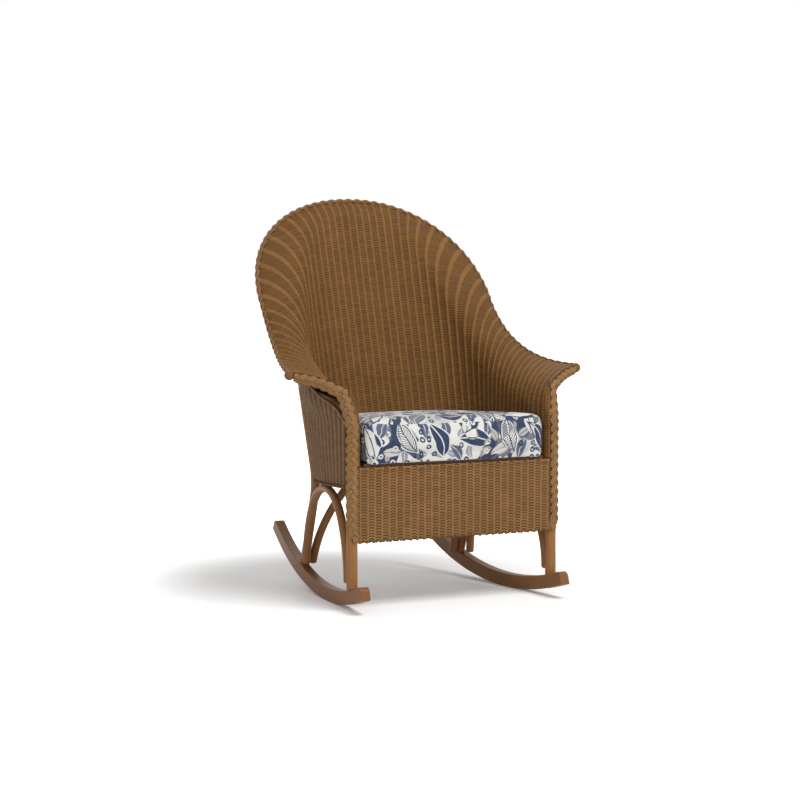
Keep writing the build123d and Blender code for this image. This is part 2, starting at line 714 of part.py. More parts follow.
def braid_grid():
    """Rows across the braid, from the arm's tip down to the leg's foot end."""
    half = BRAID_WIDTH / 2
    leg_front = LEG_Y - LEG_RADIUS - GAP - BRAID_THICKNESS / 2
    arm_front = SIDE_FRONT - GAP - BRAID_THICKNESS / 2 / cos(radians(ARM_SWEEP))
    centre = []
    arm_steps, leg_steps = 8, 6
    for i in range(arm_steps, 0, -1):
        share = i / arm_steps
        here = rib(0, 1 + share)
        step = rib(0, 0.98 + share) - here
        down = Vector(step.X, 0, step.Z).normalized()
        out = Vector(-down.Z, 0, down.X)
        back = arm_front - SIDE_FRONT + (leg_front - arm_front) * (1 - smooth_step(0, 0.5, share))
        centre.append((here + out * (half + WEAVE_HALF) + Vector(0, back, 0), out))
    for i in range(leg_steps + 1):
        z = LEG_TOP + (BRAID_BOTTOM - LEG_TOP) * i / leg_steps
        centre.append((Vector(LEG_X, leg_front, z), Vector(1, 0, 0)))
    grid = []
    for place, out in centre:
        curl = [Vector(0, BRAID_CURL * w * w, 0) + out * (half * w) for w in (-1, -0.5, 0, 0.5, 1)]
        grid.append([place + turn for turn in curl])
    return grid


# ---------------------------------------------------------------- the set of pieces
def make_pieces():
    pieces = {}
    pairs = {
        "runner": make_runner,
        "front_leg": make_front_leg,
        "rear_post": make_post,
        "side_arch": make_side_arch,
        "arm_rail": make_arm_rail,
        "side_panel": make_side_panel,
        "front_braid": make_front_braid,
    }
    for name, make in pairs.items():
        left = make()
        pieces["left_" + name] = left
        pieces["right_" + name] = mirrored(left)
    pieces["back_arch"] = make_back_arch()
    pieces["upper_back_rail"] = make_upper_rail()
    pieces["front_seat_rail"] = make_front_rail()
    pieces["seat_hoop"] = make_seat_hoop()
    pieces["seat_deck"] = make_deck()
    pieces["woven_shell"] = make_shell()
    pieces["rim_rod"] = make_rim_rod()
    pieces["rim_trim"] = make_rim_trim()
    pieces["front_apron"] = make_front_apron()
    pieces["rear_apron"] = make_rear_apron()
    pieces["seat_cushion"] = make_cushion()
    screws = [place * make_screw() for place in screw_places()]
    pieces["leg_screws"] = Compound(screws + [mirrored(screw) for screw in screws])
    return pieces


def main():
    pieces = make_pieces()
    box = Compound(list(pieces.values())).bounding_box()
    to_middle = Pos(0, -(box.min.Y + box.max.Y) / 2, 0)
    os.makedirs("parts", exist_ok=True)
    for name, piece in pieces.items():
        export_step(to_middle * piece, f"parts/{name}.step")
    print("moved along Y by", round(-(box.min.Y + box.max.Y) / 2, 3))
    print("overall", [round(v, 1) for v in box.size])


main()
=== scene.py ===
import math

import bmesh
import bpy
import numpy as np
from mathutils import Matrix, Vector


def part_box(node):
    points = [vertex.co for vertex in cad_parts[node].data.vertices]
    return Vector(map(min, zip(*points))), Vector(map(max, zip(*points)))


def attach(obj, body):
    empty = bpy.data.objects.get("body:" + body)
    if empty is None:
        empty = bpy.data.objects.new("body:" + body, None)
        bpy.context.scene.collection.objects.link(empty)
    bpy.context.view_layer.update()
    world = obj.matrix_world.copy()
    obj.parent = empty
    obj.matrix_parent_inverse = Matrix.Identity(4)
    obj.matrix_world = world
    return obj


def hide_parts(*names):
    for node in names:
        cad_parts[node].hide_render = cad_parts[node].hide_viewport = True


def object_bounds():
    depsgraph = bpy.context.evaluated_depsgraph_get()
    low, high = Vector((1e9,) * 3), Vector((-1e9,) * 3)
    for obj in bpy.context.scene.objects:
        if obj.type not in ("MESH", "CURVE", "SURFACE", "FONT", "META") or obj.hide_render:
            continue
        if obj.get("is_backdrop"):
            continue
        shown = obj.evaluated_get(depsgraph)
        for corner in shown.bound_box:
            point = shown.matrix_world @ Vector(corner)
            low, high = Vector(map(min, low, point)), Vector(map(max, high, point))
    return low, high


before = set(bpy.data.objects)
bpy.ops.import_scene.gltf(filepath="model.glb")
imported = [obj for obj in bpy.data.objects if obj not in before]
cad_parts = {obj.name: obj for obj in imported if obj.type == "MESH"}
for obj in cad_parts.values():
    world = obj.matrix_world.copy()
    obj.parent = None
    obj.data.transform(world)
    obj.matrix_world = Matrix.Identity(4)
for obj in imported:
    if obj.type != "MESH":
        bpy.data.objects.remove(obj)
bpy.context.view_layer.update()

# Rocking chair: a flared bucket of woven fibre on bent poles and curved runners, with plaited
# front edges and a loose printed cushion. Shapes are worked out in millimetres, in the frame
# the chair is drawn in (the runners touch the floor at y = 0), and then put into the row frame.

MM = 0.001
MERGE_DISTANCE = 1e-6  # metres

# ---------------------------------------------------------------- sizes, in millimetres
# frame
LEG_X, LEG_Y = 287.9, -177.0
LEG_RADIUS = 14.0
POST_RADIUS = 12.0
POST_KNEE = np.array([237.7, 152.0, 292.0])
RAIL_FRONT = 478.0  # height of the arm rail at the leg
RAIL_RISE, RAIL_BEND = 69.0, 90.0  # its rise to the post, most of it in the first bend
RAIL_STRAIGHT = 70.0  # distance back at which it turns in to the post
RAIL_RADIUS = 12.0

# the bucket's plan and wall
PLAN_Z = 495.0  # height that the plan is given for
SEAT_HALF = 264.0  # half the width between the arms
SIDE_FRONT, CORNER_Y, BACK_Y = -177.0, 95.0, 268.0
CORNER_POWER = 2.5  # superellipse power of the rear corners
SIDE_TAPER = 0.071  # narrowing from front to back, as a share
BACK_LEAN = 0.292  # mm back for each mm up
LEAN_FROM, LEAN_TO = 189.0, 469.0  # runs along the plan between which the lean sets in
BACK_FAN = 0.05  # widening up to the rim's top, as a share
LOWEST_WALL = 366.0  # height of its lower edge
FRONT_SPREAD, FRONT_RUN = 6.5, 75.0  # the arm's wall turns out towards its front edge
SPREAD_LOW, SPREAD_HIGH = 490.0, 560.0  # heights between which that fades out

# its rim and flare
TIP = np.array([424.0, -88.0, 600.0])
SPRING_X, SPRING_Z = 351.0, 770.0  # where the round head springs from the arm
RIM_TOP = 1050.0
RIM_ROLL = 28.0  # how far the rim rolls back behind the back's plane
WING_WRAP, WING_POWER = 108.0, 1.15  # how far the wings come forward, and how they swing back
HEAD_POWER = 2.1
ARM_PULL = np.array([-38.0, 140.0, 0.0])
WING_PULL = np.array([-4.0, 95.0, 130.0])
ARM_FLARE = 102.0
WING_FLARE, WING_RUN, WING_SPREAD = 60.0, 349.0, 90.0  # a bell along the plan
HEAD_FLARE, HEAD_FROM, HEAD_TO = 57.0, 369.0, 629.0
RIM_RISE, HEAD_RISE, RISE_FROM, RISE_TO = 0.06, 0.9, 319.0, 589.0
WALL_PULL, RIM_PULL = 0.55, 0.5  # reach of the flare's handles, as shares
CROWDING, CORNER_RUN, CORNER_SPREAD = 1.55, 384.0, 105.0  # of the ribs, a bell along the plan
TRIM_RADIUS = 6.0
EDGE_SINK = 2.5  # how deep the weave's edge runs into the rim's plait

# the weave
RIB_PITCH = 20.3  # upright stakes
SKIN = 1.1  # half the weave's thickness between the stakes
RIDGE = 1.6  # how far a stake stands out of it
RIDGE_SHARE = 0.15  # half a stake's width, as a share of the pitch
ARM_CALM = 0.45  # share by which it stands out less along the arms
CALM_FROM, CALM_TO = 380.0, 560.0  # runs from the back's middle between which this sets in
PANEL_RIDGE, APRON_RIDGE, SKIRT_RIDGE, TURN_RIDGE = 1.3, 1.3, 1.4, 0.8
BUCKET_ROWS, EDGE_ROWS = 76, 96

# the rim's plait
RIM_PERIOD = 81.0  # length in which a bundle crosses to and fro
RIM_SWING, RIM_LIFT = 3.5, 2.3  # of a bundle, across the plait and over it
RIM_BUNDLE_ACROSS, RIM_BUNDLE_OVER = 4.2, 3.1  # half its width and half its thickness
RIM_END = 9.0  # length over which its ends round off
RIM_STEP, RIM_SIDES = 2.5, 14

# the braids down the arms and legs
BRAID_PERIOD = 70.0  # length in which a strand crosses to and fro
BRAID_RADIUS = 16.4  # they are wrapped about the leg's axis on this radius
TIP_RADIUS = 13.5  # and about the arm's edge on this one, at its tip
BRAID_SWING, BRAID_LIFT = 10.0, 1.6  # of a strand, across the braid and over it
BRAID_BUNDLE, BRAID_DEPTH = 8.2, 2.6  # half the width and half the thickness of a strand
BRAID_END = 10.0  # length over which its ends round off
BRAID_INNER = math.radians(-43.0)  # angle of its inner edge, from dead ahead
BRAID_MIDDLE = math.radians(24.0)
BRAID_CURL, CURL_LENGTH = math.radians(-62.0), 38.0  # its lower end turns inward
BRAID_TOP, BRAID_BOTTOM = 468.0, 172.0  # on the leg
ARM_FROM, ARM_TO = 0.97, 0.36  # shares of the flare that it follows down the arm
LINE_POINTS = 900
BRAID_STEP, BRAID_SIDES = 1.5, 18
CORE_INNER, CORE_OUTER = -84.0, 60.0  # degrees that the band under it covers
CORE_SINK, CORE_SKIN = 1.6, 0.9  # how far it lies under the wrap, and half its thickness
CORE_STEP, CORE_COLUMNS = 4.0, 15
TURN_TOP = 588.0  # up to here the wall turns round to the braid
TURN_LAP = 1.05  # how far it laps over the braid's inner edge, as a share
TURN_ROWS, TURN_COLUMNS = 120, 11
TURN_ROUND = 0.2  # how far its bend stays behind the braid's edge, as a share
KNOB = 12.5  # radius of the knob at the arm's tip
KNOB_OFFSET = np.array([-6.5, 2.0, -8.0])
KNOB_RIDGE, KNOB_WINDINGS = 0.035, 6  # height of its cord, as a share, and its windings

# apron, panels and skirt
APRON_MIDDLE = -188.6  # distance of its middle from the floor contact
APRON_BOTTOM = 176.0
APRON_HALF = LEG_X - 7.5
APRON_ROLL = [[-188.6, 344.0], [-189.4, 351.0], [-191.6, 356.5], [-190.8, 360.2], [-188.0, 361.0]]
SCALLOP, SCALLOP_REACH = 3.0, 14.0  # of the hem: its drop, and the height it fades out over
FACE_ROWS, ROLL_ROWS = 60, 18
PANEL_BOTTOM = (314.0, 296.0)  # at the leg and at the post
PANEL_ROOM = 2.6  # between the leg and the panel's middle
OVER_RAIL = 2.2  # from the rail to the panel's middle
LAP_FROM, LAP_TO = 75.0, 6.0  # heights under the rail between which it turns out over it
PANEL_BOW = 7.0
PANEL_STAKES, PANEL_ROWS = 12, 60
PANEL_END = 0.955  # share of the way to the post at which it stops
TUCK_FROM, PANEL_TUCK = 0.86, 6.0  # its rear end turns in to the post
PANEL_RISE = 38.0  # how far its head stands over the rail at the post
RISE_START, RISE_STOP = 0.34, 0.76  # shares of the way between which it rises
HEAD_DROP = 4.0  # how far its head stays under the rail's middle at the leg
SKIRT_BOTTOM, SKIRT_TOP = 305.0, 365.0
SKIRT_REACH, SKIRT_ROOM = 330, 4.8  # it ends short of this run, and stands off the wall
SKIRT_SPARE = 0.6  # its ends stay this far inside the solid's
SKIRT_ROWS = 16

# the twists that bind the edges: two strands each
TWIST_SIDES, TWIST_STEP = 10, 2.0
THINNEST = 0.05  # thickness that every strand keeps at its ends, as a share
PANEL_TWIST_OUT = 1.2  # how far the panel's stand outward of its middle
APRON_TWIST_UP = 1.5

# deck and cushion
DECK_TOP, DECK_FRONT = 371.0, -189.0
CUSHION_FRONT, CUSHION_TOP = -203.0, 480.5
CUSHION_CROWN = 11.0
RING_POINTS = 720
CUSHION_FALL = 0.045  # how much thinner it is towards the back, mm per mm
CUSHION_CORNER = 27.0  # rounding of its front corners in plan
CUSHION_EDGE, CUSHION_FOOT = 21.0, 11.0  # rounding of its upper and lower edges
CUSHION_ROOM = 0.5  # from the wall's middle, once it is swollen
CUSHION_BACK = 14.0  # from the back's foremost plane
CUSHION_DROOP = 9.5  # how far its overhang sinks ahead of the deck
SWELL = 6.0  # how far the filling pushes the cover out
SWELL_LIMIT = 1.3 * SWELL  # and may push it at most
CLOTH_CELL = 0.0055  # metres: the remeshed cover's cells
CLOTH_PRESSURE, CLOTH_QUALITY, CLOTH_MASS, CLOTH_FRAMES = 4, 4, 0.3, 20
CLOTH_ROOM = 0.5  # from the deck to the lowest cloth
DROOP_REACH = 3.0  # half the depth over which the cover sinks ahead of the deck
CUSHION_CLOSE = 0.02  # size of the loop its rows close in to, as a share of its plan
CUSHION_MIDDLE = 20.0  # distance back of that loop's middle
LEVEL_NORMAL = 0.72  # upright part of a normal over which the cloth is printed flat
SEAM_LEVEL, SEAM_DEPTH, SEAM_WIDTH = 3.5, 1.5, 3.0

low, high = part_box("left_front_leg")
SHIFT = np.array([0.0, (low.y + high.y) / 2 / MM - LEG_Y, 0.0])


def to_frame(points):
    """From the drawn frame in millimetres to the row frame in metres."""
    return (points + SHIFT) * MM


# ---------------------------------------------------------------- small helpers of the formulas
def unit(vectors):
    """Vectors divided by their lengths."""
    return vectors / np.maximum(np.linalg.norm(vectors, axis=-1, keepdims=True), 1e-9)


def rising(start, end, value):
    """0 below start, 1 above end, and an even S between them."""
    share = np.clip((value - start) / (end - start), 0.0, 1.0)
    return share * share * (3 - 2 * share)


def runs_of(points):
    """Length run along a line of points, up to each of them."""
    return np.concatenate([[0.0], np.cumsum(np.linalg.norm(np.diff(points, axis=0), axis=1))])


def read_line(points, runs, where):
    """Points of a line at the runs asked for, one coordinate after the other."""
    return np.stack([np.interp(where, runs, points[:, k]) for k in range(points.shape[1])], -1)


def bezier(p0, p1, p2, p3, t):
    """Cubic Bezier: the four points weighted by the terms of (u + t) cubed, where u = 1 - t."""
    u = 1 - t
    return p0 * u**3 + p1 * (3 * u * u * t) + p2 * (3 * u * t * t) + p3 * t**3


# ---------------------------------------------------------------- the bucket as a formula
def plan_line():
    """Straight side, then a superellipse quarter round the rear corner, tapering to the back."""
    side_y = np.linspace(SIDE_FRONT, CORNER_Y, 60, endpoint=False)
    turn = np.linspace(0, math.pi / 2, 240)
    corner_x = SEAT_HALF * np.maximum(np.cos(turn), 0) ** (2 / CORNER_POWER)
    corner_y = CORNER_Y + (BACK_Y - CORNER_Y) * np.sin(turn) ** (2 / CORNER_POWER)
    x = np.concatenate([np.full(60, SEAT_HALF), corner_x])
    y = np.concatenate([side_y, corner_y])
    x = x * (1 - SIDE_TAPER * (y - SIDE_FRONT) / (BACK_Y - SIDE_FRONT))
    return np.stack([x, y], 1)


def rim_points():
    """A Bezier from the arm's tip to the spring, then a superellipse quarter over the head."""
    turn = np.linspace(0, math.pi / 2, 240)
    z = SPRING_Z + (RIM_TOP - SPRING_Z) * np.sin(turn) ** (2 / HEAD_POWER)
    x = SPRING_X * np.maximum(np.cos(turn), 0) ** (2 / HEAD_POWER)
    y = BACK_Y + BACK_LEAN * (z - PLAN_Z) + RIM_ROLL - WING_WRAP * (1 - np.sin(turn)) ** WING_POWER
    head = np.stack([x, y, z], 1)
    t = np.linspace(0, 1, 160, endpoint=False)[:, None]
    arm = bezier(TIP, TIP + ARM_PULL, head[0] - WING_PULL, head[0], t)
    return np.concatenate([arm, head])


PLAN = plan_line()
PLAN_RUNS = runs_of(PLAN)
PLAN_LENGTH = PLAN_RUNS[-1]
RIM = rim_points()
RIM_RUNS = runs_of(RIM)


def rim_share_table():
    """Running total of 1 plus a bell round the rear corner, where ribs crowd towards the rim."""
    run = np.linspace(0, PLAN_LENGTH, 800)
    pace = 1 + CROWDING * np.exp(-(((run - CORNER_RUN) / CORNER_SPREAD) ** 2))
    total = np.concatenate([[0.0], np.cumsum((pace[1:] + pace[:-1]) / 2 * np.diff(run))])
    return run, total / total[-1]


SHARE_RUNS, SHARES = rim_share_table()


def rim_edge(run):
    """Point of the rim that the rib from this place of the plan ends at."""
    return read_line(RIM, RIM_RUNS, np.interp(run, SHARE_RUNS, SHARES) * RIM_RUNS[-1])


def wall(run, z):
    """Plan point, widened and leaned back with height."""
    base = read_line(PLAN, PLAN_RUNS, run)
    lean = BACK_LEAN * rising(LEAN_FROM, LEAN_TO, run) * (z - PLAN_Z)
    fan = 1 + BACK_FAN * (z - PLAN_Z) / (RIM_TOP - PLAN_Z)
    return np.stack([base[..., 0] * fan, base[..., 1] + lean, z + 0 * run], -1)


def flare_height(run):
    """Height under the rim in which the wall turns out: most at the wings, least at the head."""
    wing = WING_FLARE * np.exp(-(((run - WING_RUN) / WING_SPREAD) ** 2))
    return ARM_FLARE + wing - HEAD_FLARE * rising(HEAD_FROM, HEAD_TO, run)


def rim_outward(run):
    """Level direction from the wall to the rim, turned up towards the head."""
    edge = rim_edge(run)
    flat = edge - wall(run, edge[..., 2] - flare_height(run))
    flat[..., 2] = 0
    out = unit(flat)
    out[..., 2] = RIM_RISE + HEAD_RISE * rising(RISE_FROM, RISE_TO, run)
    return unit(out)


def ribs(run, share):
    """Ribs over the runs: share 0 to 1 is straight up the wall, 1 to 2 a Bezier out to the rim."""
    outward = rim_outward(run)
    edge = rim_edge(run) - outward * (2 * TRIM_RADIUS - EDGE_SINK)
    height = edge[..., 2] - flare_height(run)
    start = wall(run, height)
    foot = wall(run, np.full_like(run, LOWEST_WALL))
    leave = start + (wall(run, height + 1) - start) * (WALL_PULL * flare_height(run))[..., None]
    width = np.linalg.norm((edge - start)[..., :2], axis=-1)[..., None]
    arrive = edge - outward * (RIM_PULL * width)
    on_wall = foot + (start - foot) * np.minimum(share, 1)[..., None]
    t = np.clip(share - 1, 0, 1)[..., None]
    return np.where((share <= 1)[..., None], on_wall, bezier(start, leave, arrive, edge, t))


def bucket(signed_run, rows):
    """Grid of the whole bucket: signed runs across, and rows of equal length up each rib."""
    run = PLAN_LENGTH - np.abs(signed_run)
    probe = np.linspace(1, 2, 16)
    straight = ribs(run, np.ones_like(run)) - ribs(run, np.zeros_like(run))
    foot_to_flare = np.linalg.norm(straight, axis=-1)
    curve = ribs(run[:, None] + 0 * probe, probe + 0 * run[:, None])
    flare = np.linalg.norm(np.diff(curve, axis=1), axis=-1).sum(1)
    along = np.linspace(0, 1, rows) * (foot_to_flare + flare)[:, None]
    wall_part = along / foot_to_flare[:, None]
    flare_part = 1 + (along - foot_to_flare[:, None]) / flare[:, None]
    points = ribs(run[:, None] + 0 * along, np.where(wall_part < 1, wall_part, flare_part))
    points[..., 0] += front_spread(run[:, None], points[..., 2])
    points[..., 0] *= np.where(signed_run >= 0, 1, -1)[:, None]
    return points


def front_spread(run, z):
    """How far the arm's wall stands out near its front edge: an S along it and up it."""
    return FRONT_SPREAD * (1 - rising(0, FRONT_RUN, run)) * (1 - rising(SPREAD_LOW, SPREAD_HIGH, z))


def seat_line(q, offset, level):
    """Plan of the wall at a level, q round from the middle of the back, moved outward."""
    run = PLAN_LENGTH - np.abs(q)
    here = wall(run, np.full_like(run, level))
    along = unit(wall(run + 1, np.full_like(run, level)) - wall(run - 1, np.full_like(run, level)))
    out = np.stack([along[:, 1], -along[:, 0], 0 * run], 1)
    points = here + out * offset
    points[:, 0] *= np.where(q >= 0, 1, -1)
    return points


# ---------------------------------------------------------------- meshes from arrays
def closed_quads(rows, columns):
    """Quads of a grid that closes round its columns: corner numbers on the piece, and on its uv
    grid, which has one column more."""
    ids = np.arange(rows * (columns + 1)).reshape(rows, columns + 1)
    places = np.stack([ids[:-1, :-1], ids[1:, :-1], ids[1:, 1:], ids[:-1, 1:]], -1).reshape(-1, 4)
    row, column = places // (columns + 1), places % (columns + 1)
    return row * columns + column % columns, places


def signed_volume(points, faces):
    """Sum of the boxes that the faces' triangles span with the origin, over six."""
    a, b, c, d = (points[faces[:, k]] for k in range(4))
    first = np.einsum("ij,ij->i", a, np.cross(b, c)).sum()
    second = np.einsum("ij,ij->i", a, np.cross(c, d)).sum()
    return (first + second) / 6


def add_object(name, data):
    """A new object in the scene that shows the data."""
    thing = bpy.data.objects.new(name, data)
    bpy.context.scene.collection.objects.link(thing)
    return thing


def make_mesh(name, points, faces, uv, material):
    """Mesh object of a points array, a faces array and the places on its surface per corner."""
    points = to_frame(points)
    mesh = bpy.data.meshes.new(name)
    mesh.vertices.add(len(points))
    mesh.vertices.foreach_set("co", points.ravel().astype(np.float32))
    mesh.loops.add(faces.size)
    mesh.loops.foreach_set("vertex_index", faces.ravel().astype(np.int32))
    mesh.polygons.add(len(faces))
    mesh.polygons.foreach_set("loop_start", np.arange(0, faces.size, 4, dtype=np.int32))
    mesh.polygons.foreach_set("use_smooth", np.ones(len(faces), bool))
    layer = mesh.uv_layers.new(name="surface")
    layer.data.foreach_set("uv", uv.reshape(-1).astype(np.float32))
    mesh.update(calc_edges=True)
    mesh.validate()
    mesh.materials.append(material)
    return add_object(name, mesh)


def closed_piece(name, grids, material):
    """One piece of grids that close round their columns. Corners that lie on each other, as
    along seams and at poles, become one."""
    points, faces, uvs, count = [], [], [], 0
    for grid, uv in grids:
        part, places = closed_quads(*grid.shape[:2])
        corner = uv.reshape(-1, 2)[places]
        flat = grid.reshape(-1, 3)
        if signed_volume(flat - flat.mean(0), part) < 0:
            part, corner = part[:, ::-1], corner[:, ::-1]
        points.append(flat)
        faces.append(part + count)
        uvs.append(corner)
        count += len(flat)
    points, faces, uvs = (np.concatenate(arrays) for arrays in (points, faces, uvs))
    piece = make_mesh(name, points, faces, uvs, material)
    work = bmesh.new()
    work.from_mesh(piece.data)
    bmesh.ops.remove_doubles(work, verts=work.verts, dist=MERGE_DISTANCE)
    work.to_mesh(piece.data)
    work.free()
    return piece


def grid_normals(points):
    """Unit normals of a grid: the cross product of its two directions."""
    return unit(np.cross(np.gradient(points, axis=0), np.gradient(points, axis=1)))


def sleeve(front, back, front_uv, back_uv):
    """Two skins of one grid joined to a closed sleeve, pinched shut at the first and last row."""
    points = np.concatenate([front, back[:, ::-1]], 1)
    uv = np.concatenate([front_uv, back_uv[:, ::-1], front_uv[:, :1]], 1)
    middle = (front + back) / 2
    both = np.concatenate([middle, middle[:, ::-1]], 1)
    points = np.concatenate([both[:1], points, both[-1:]])
    return points, np.concatenate([uv[:1], uv, uv[-1:]])


def stake_profile(phase):
    """Half-round ridge in the middle of each pitch: the root of 1 minus the offset squared."""
    offset = (phase % 1 - 0.5) / RIDGE_SHARE
    return np.sqrt(np.clip(1 - offset * offset, 0, 1))


STAKE_SAMPLES = np.array([0.0, 0.17, 0.34, 0.37, 0.43, 0.5, 0.57, 0.63, 0.66, 0.83])


def stake_phases(count):
    """Places across a weave at which it is sampled, closer where the stakes stand out."""
    phases = (np.arange(count)[:, None] + STAKE_SAMPLES).ravel()
    return np.append(phases, float(count))


def woven_piece(name, surface, phases, material, ridge):
    """A surface of stakes and rows, both faces: each skin stands off by its half thickness plus
    the stakes' profile, and the uv counts stakes across and metres along."""
    normals = grid_normals(surface)
    stand = (SKIN + ridge * stake_profile(phases)[:, None])[..., None]
    along = np.linalg.norm(np.diff(surface, axis=1), axis=-1)
    along = np.concatenate([np.zeros((len(phases), 1)), np.cumsum(along, axis=1)], 1) * MM
    uv = np.stack([np.broadcast_to(phases[:, None], along.shape), along], -1)
    points, uv = sleeve(surface + normals * stand, surface - normals * stand, uv, uv)
    return closed_piece(name, [(points, uv)], material)


def tube_grid(centres, across, over, radius_across, radius_over, sides):
    """Rings round a line: centre plus across times cosine plus over times sine, closed to a point
    at both ends. The uv runs once round and counts metres along."""
    turn = np.linspace(0, 2 * math.pi, sides, endpoint=False)
    ring = (across * radius_across[:, None])[:, None] * np.cos(turn)[:, None]
    ring = ring + (over * radius_over[:, None])[:, None] * np.sin(turn)[:, None]
    points = centres[:, None] + ring
    first = np.repeat(centres[:1, None], sides, 1)
    last = np.repeat(centres[-1:, None], sides, 1)
    runs = runs_of(centres) * MM
    runs = np.concatenate([runs[:1], runs, runs[-1:]])
    turns = np.linspace(0, 1, sides + 1)
    uv = np.stack(np.broadcast_arrays(turns[None, :], runs[:, None]), -1)
    return np.concatenate([first, points, last]), uv


# ---------------------------------------------------------------- materials
WEFT_PITCH = 0.0071  # metres from row to row


def linear(red, green, blue):
    """Screen colour of 0 to 255 as the linear values that a shader takes."""
    screen = np.array([red, green, blue]) / 255
    value = np.where(screen <= 0.04045, screen / 12.92, ((screen + 0.055) / 1.055) ** 2.4)
    return (*value, 1.0)


class Nodes:
    """The node tree of a material or the world, written as calls that return sockets."""

    def __init__(self, owner, shader="Principled BSDF"):
        owner.use_nodes = True
        self.owner = owner
        self.tree = owner.node_tree
        self.shader = self.tree.nodes[shader]

    def new(self, kind, **settings):
        node = self.tree.nodes.new(kind)
        for key, value in settings.items():
            setattr(node, key, value)
        return node

    def feed(self, socket, value):
        if isinstance(value, bpy.types.NodeSocket):
            self.tree.links.new(value, socket)
        else:
            socket.default_value = value

    def math(self, operation, a, b=0.0, c=0.0, clamp=False):
        node = self.new("ShaderNodeMath", operation=operation, use_clamp=clamp)
        for socket, value in zip(node.inputs, (a, b, c)):
            self.feed(socket, value)
        return node.outputs[0]

    def add(self, a, b, clamp=False):
        return self.math("ADD", a, b, clamp=clamp)

    def sub(self, a, b):
        return self.math("SUBTRACT", a, b)

    def mul(self, a, b):
        return self.math("MULTIPLY", a, b)

    def scaled(self, value, factor, offset):
        """The value times the factor, plus the offset."""
        return self.math("MULTIPLY_ADD", value, factor, offset)

    def off_middle(self, value):
        """Distance from the middle of each whole step."""
        return self.math("ABSOLUTE", self.sub(self.math("FRACT", value), 0.5))

    def ramp(self, value, low, high):
        """Even S from 0 at low to 1 at high."""
        node = self.new("ShaderNodeMapRange", interpolation_type="SMOOTHSTEP")
        for socket, entry in zip(node.inputs, (value, low, high, 0.0, 1.0)):
            self.feed(socket, entry)
        return node.outputs[0]

    def mix(self, share, first, second, blend="MIX"):
        node = self.new("ShaderNodeMix", data_type="RGBA", blend_type=blend)
        self.feed(node.inputs[0], share)
        self.feed(node.inputs[6], first)
        self.feed(node.inputs[7], second)
        return node.outputs[2]

    def shaded(self, color, shade):
        """The colour times a grey value."""
        return self.mix(1.0, color, self.join(shade, shade, shade), "MULTIPLY")

    def surface(self):
        """The piece's own places: u and v."""
        uv = self.new("ShaderNodeUVMap", uv_map="surface")
        parts = self.new("ShaderNodeSeparateXYZ")
        self.feed(parts.inputs[0], uv.outputs[0])
        return parts.outputs[0], parts.outputs[1]

    def place(self, scale=(1, 1, 1)):
        """Object coordinates in metres, stretched along the axes."""
        source = self.new("ShaderNodeTexCoord")
        mapping = self.new("ShaderNodeMapping")
        mapping.inputs["Scale"].default_value = scale
        self.feed(mapping.inputs[0], source.outputs["Object"])
        return mapping.outputs[0]

    def join(self, x, y, z=0.0):
        node = self.new("ShaderNodeCombineXYZ")
        for socket, value in zip(node.inputs, (x, y, z)):
            self.feed(socket, value)
        return node.outputs[0]

    def noise(self, vector, scale, detail=2.0, roughness=0.5):
        node = self.new("ShaderNodeTexNoise")
        self.feed(node.inputs["Vector"], vector)
        node.inputs["Scale"].default_value = scale
        node.inputs["Detail"].default_value = detail
        node.inputs["Roughness"].default_value = roughness
        return node.outputs[0]

    def chance(self, vector):
        """One random value for each whole-numbered place."""
        node = self.new("ShaderNodeTexWhiteNoise", noise_dimensions="3D")
        self.feed(node.inputs[0], vector)
        return node.outputs[0]

    def bump(self, height, distance, strength=1.0):
        node = self.new("ShaderNodeBump")
        node.inputs["Distance"].default_value = distance
        node.inputs["Strength"].default_value = strength
        self.feed(node.inputs["Height"], height)
        self.feed(self.shader.inputs["Normal"], node.outputs[0])

    def finish(self, color, roughness, specular=0.5):
        self.feed(self.shader.inputs["Base Color"], color)
        self.feed(self.shader.inputs["Roughness"], roughness)
        self.shader.inputs["Specular IOR Level"].default_value = specular
        return self.owner


def weave_finish(name, ridge_color, trough_color, shade_color, row_shade_and_depth, stake_edge=(0.185, 0.125)):
    """Twisted fibre woven round stakes: smooth stakes, and between them short rows that lie in
    brick order, with painted shade darkening the gap after each row."""
    n = Nodes(bpy.data.materials.new(name))
    across, along = n.surface()
    offset = n.off_middle(across)
    stake = n.ramp(offset, stake_edge[0], stake_edge[1])
    column = n.math("FLOOR", n.add(across, 0.5))
    odd = n.math("MODULO", column, 2.0)
    row = n.add(n.math("DIVIDE", along, WEFT_PITCH), n.mul(odd, 0.5))
    gap = n.ramp(n.off_middle(row), 0.26, 0.46)
    between = n.sub(1.0, stake)
    gap_here = n.mul(gap, n.scaled(between, 0.85, 0.15))
    each_row = n.chance(n.join(column, n.math("FLOOR", row)))
    each_rib = n.chance(n.join(column, 3.0))
    cloud = n.noise(n.place(), 14.0, 3.0)
    color = n.mix(stake, trough_color, ridge_color)
    # painted shade: each gap between rows is darkened towards the shade colour
    color = n.mix(n.mul(gap_here, row_shade_and_depth), color, shade_color)
    shade = n.scaled(each_row, 0.20, 0.82)
    shade = n.add(shade, n.mul(each_rib, 0.10))
    shade = n.add(shade, n.scaled(cloud, 0.24, -0.12))
    color = n.shaded(color, shade)
    twist = n.noise(n.place((1, 1, 0.35)), 900.0, 2.0)
    sunk = n.mul(gap_here, row_shade_and_depth + 0.2)
    height = n.sub(n.mul(twist, 0.35), sunk)
    n.bump(height, 0.0009)
    return n.finish(color, 0.66, 0.12)


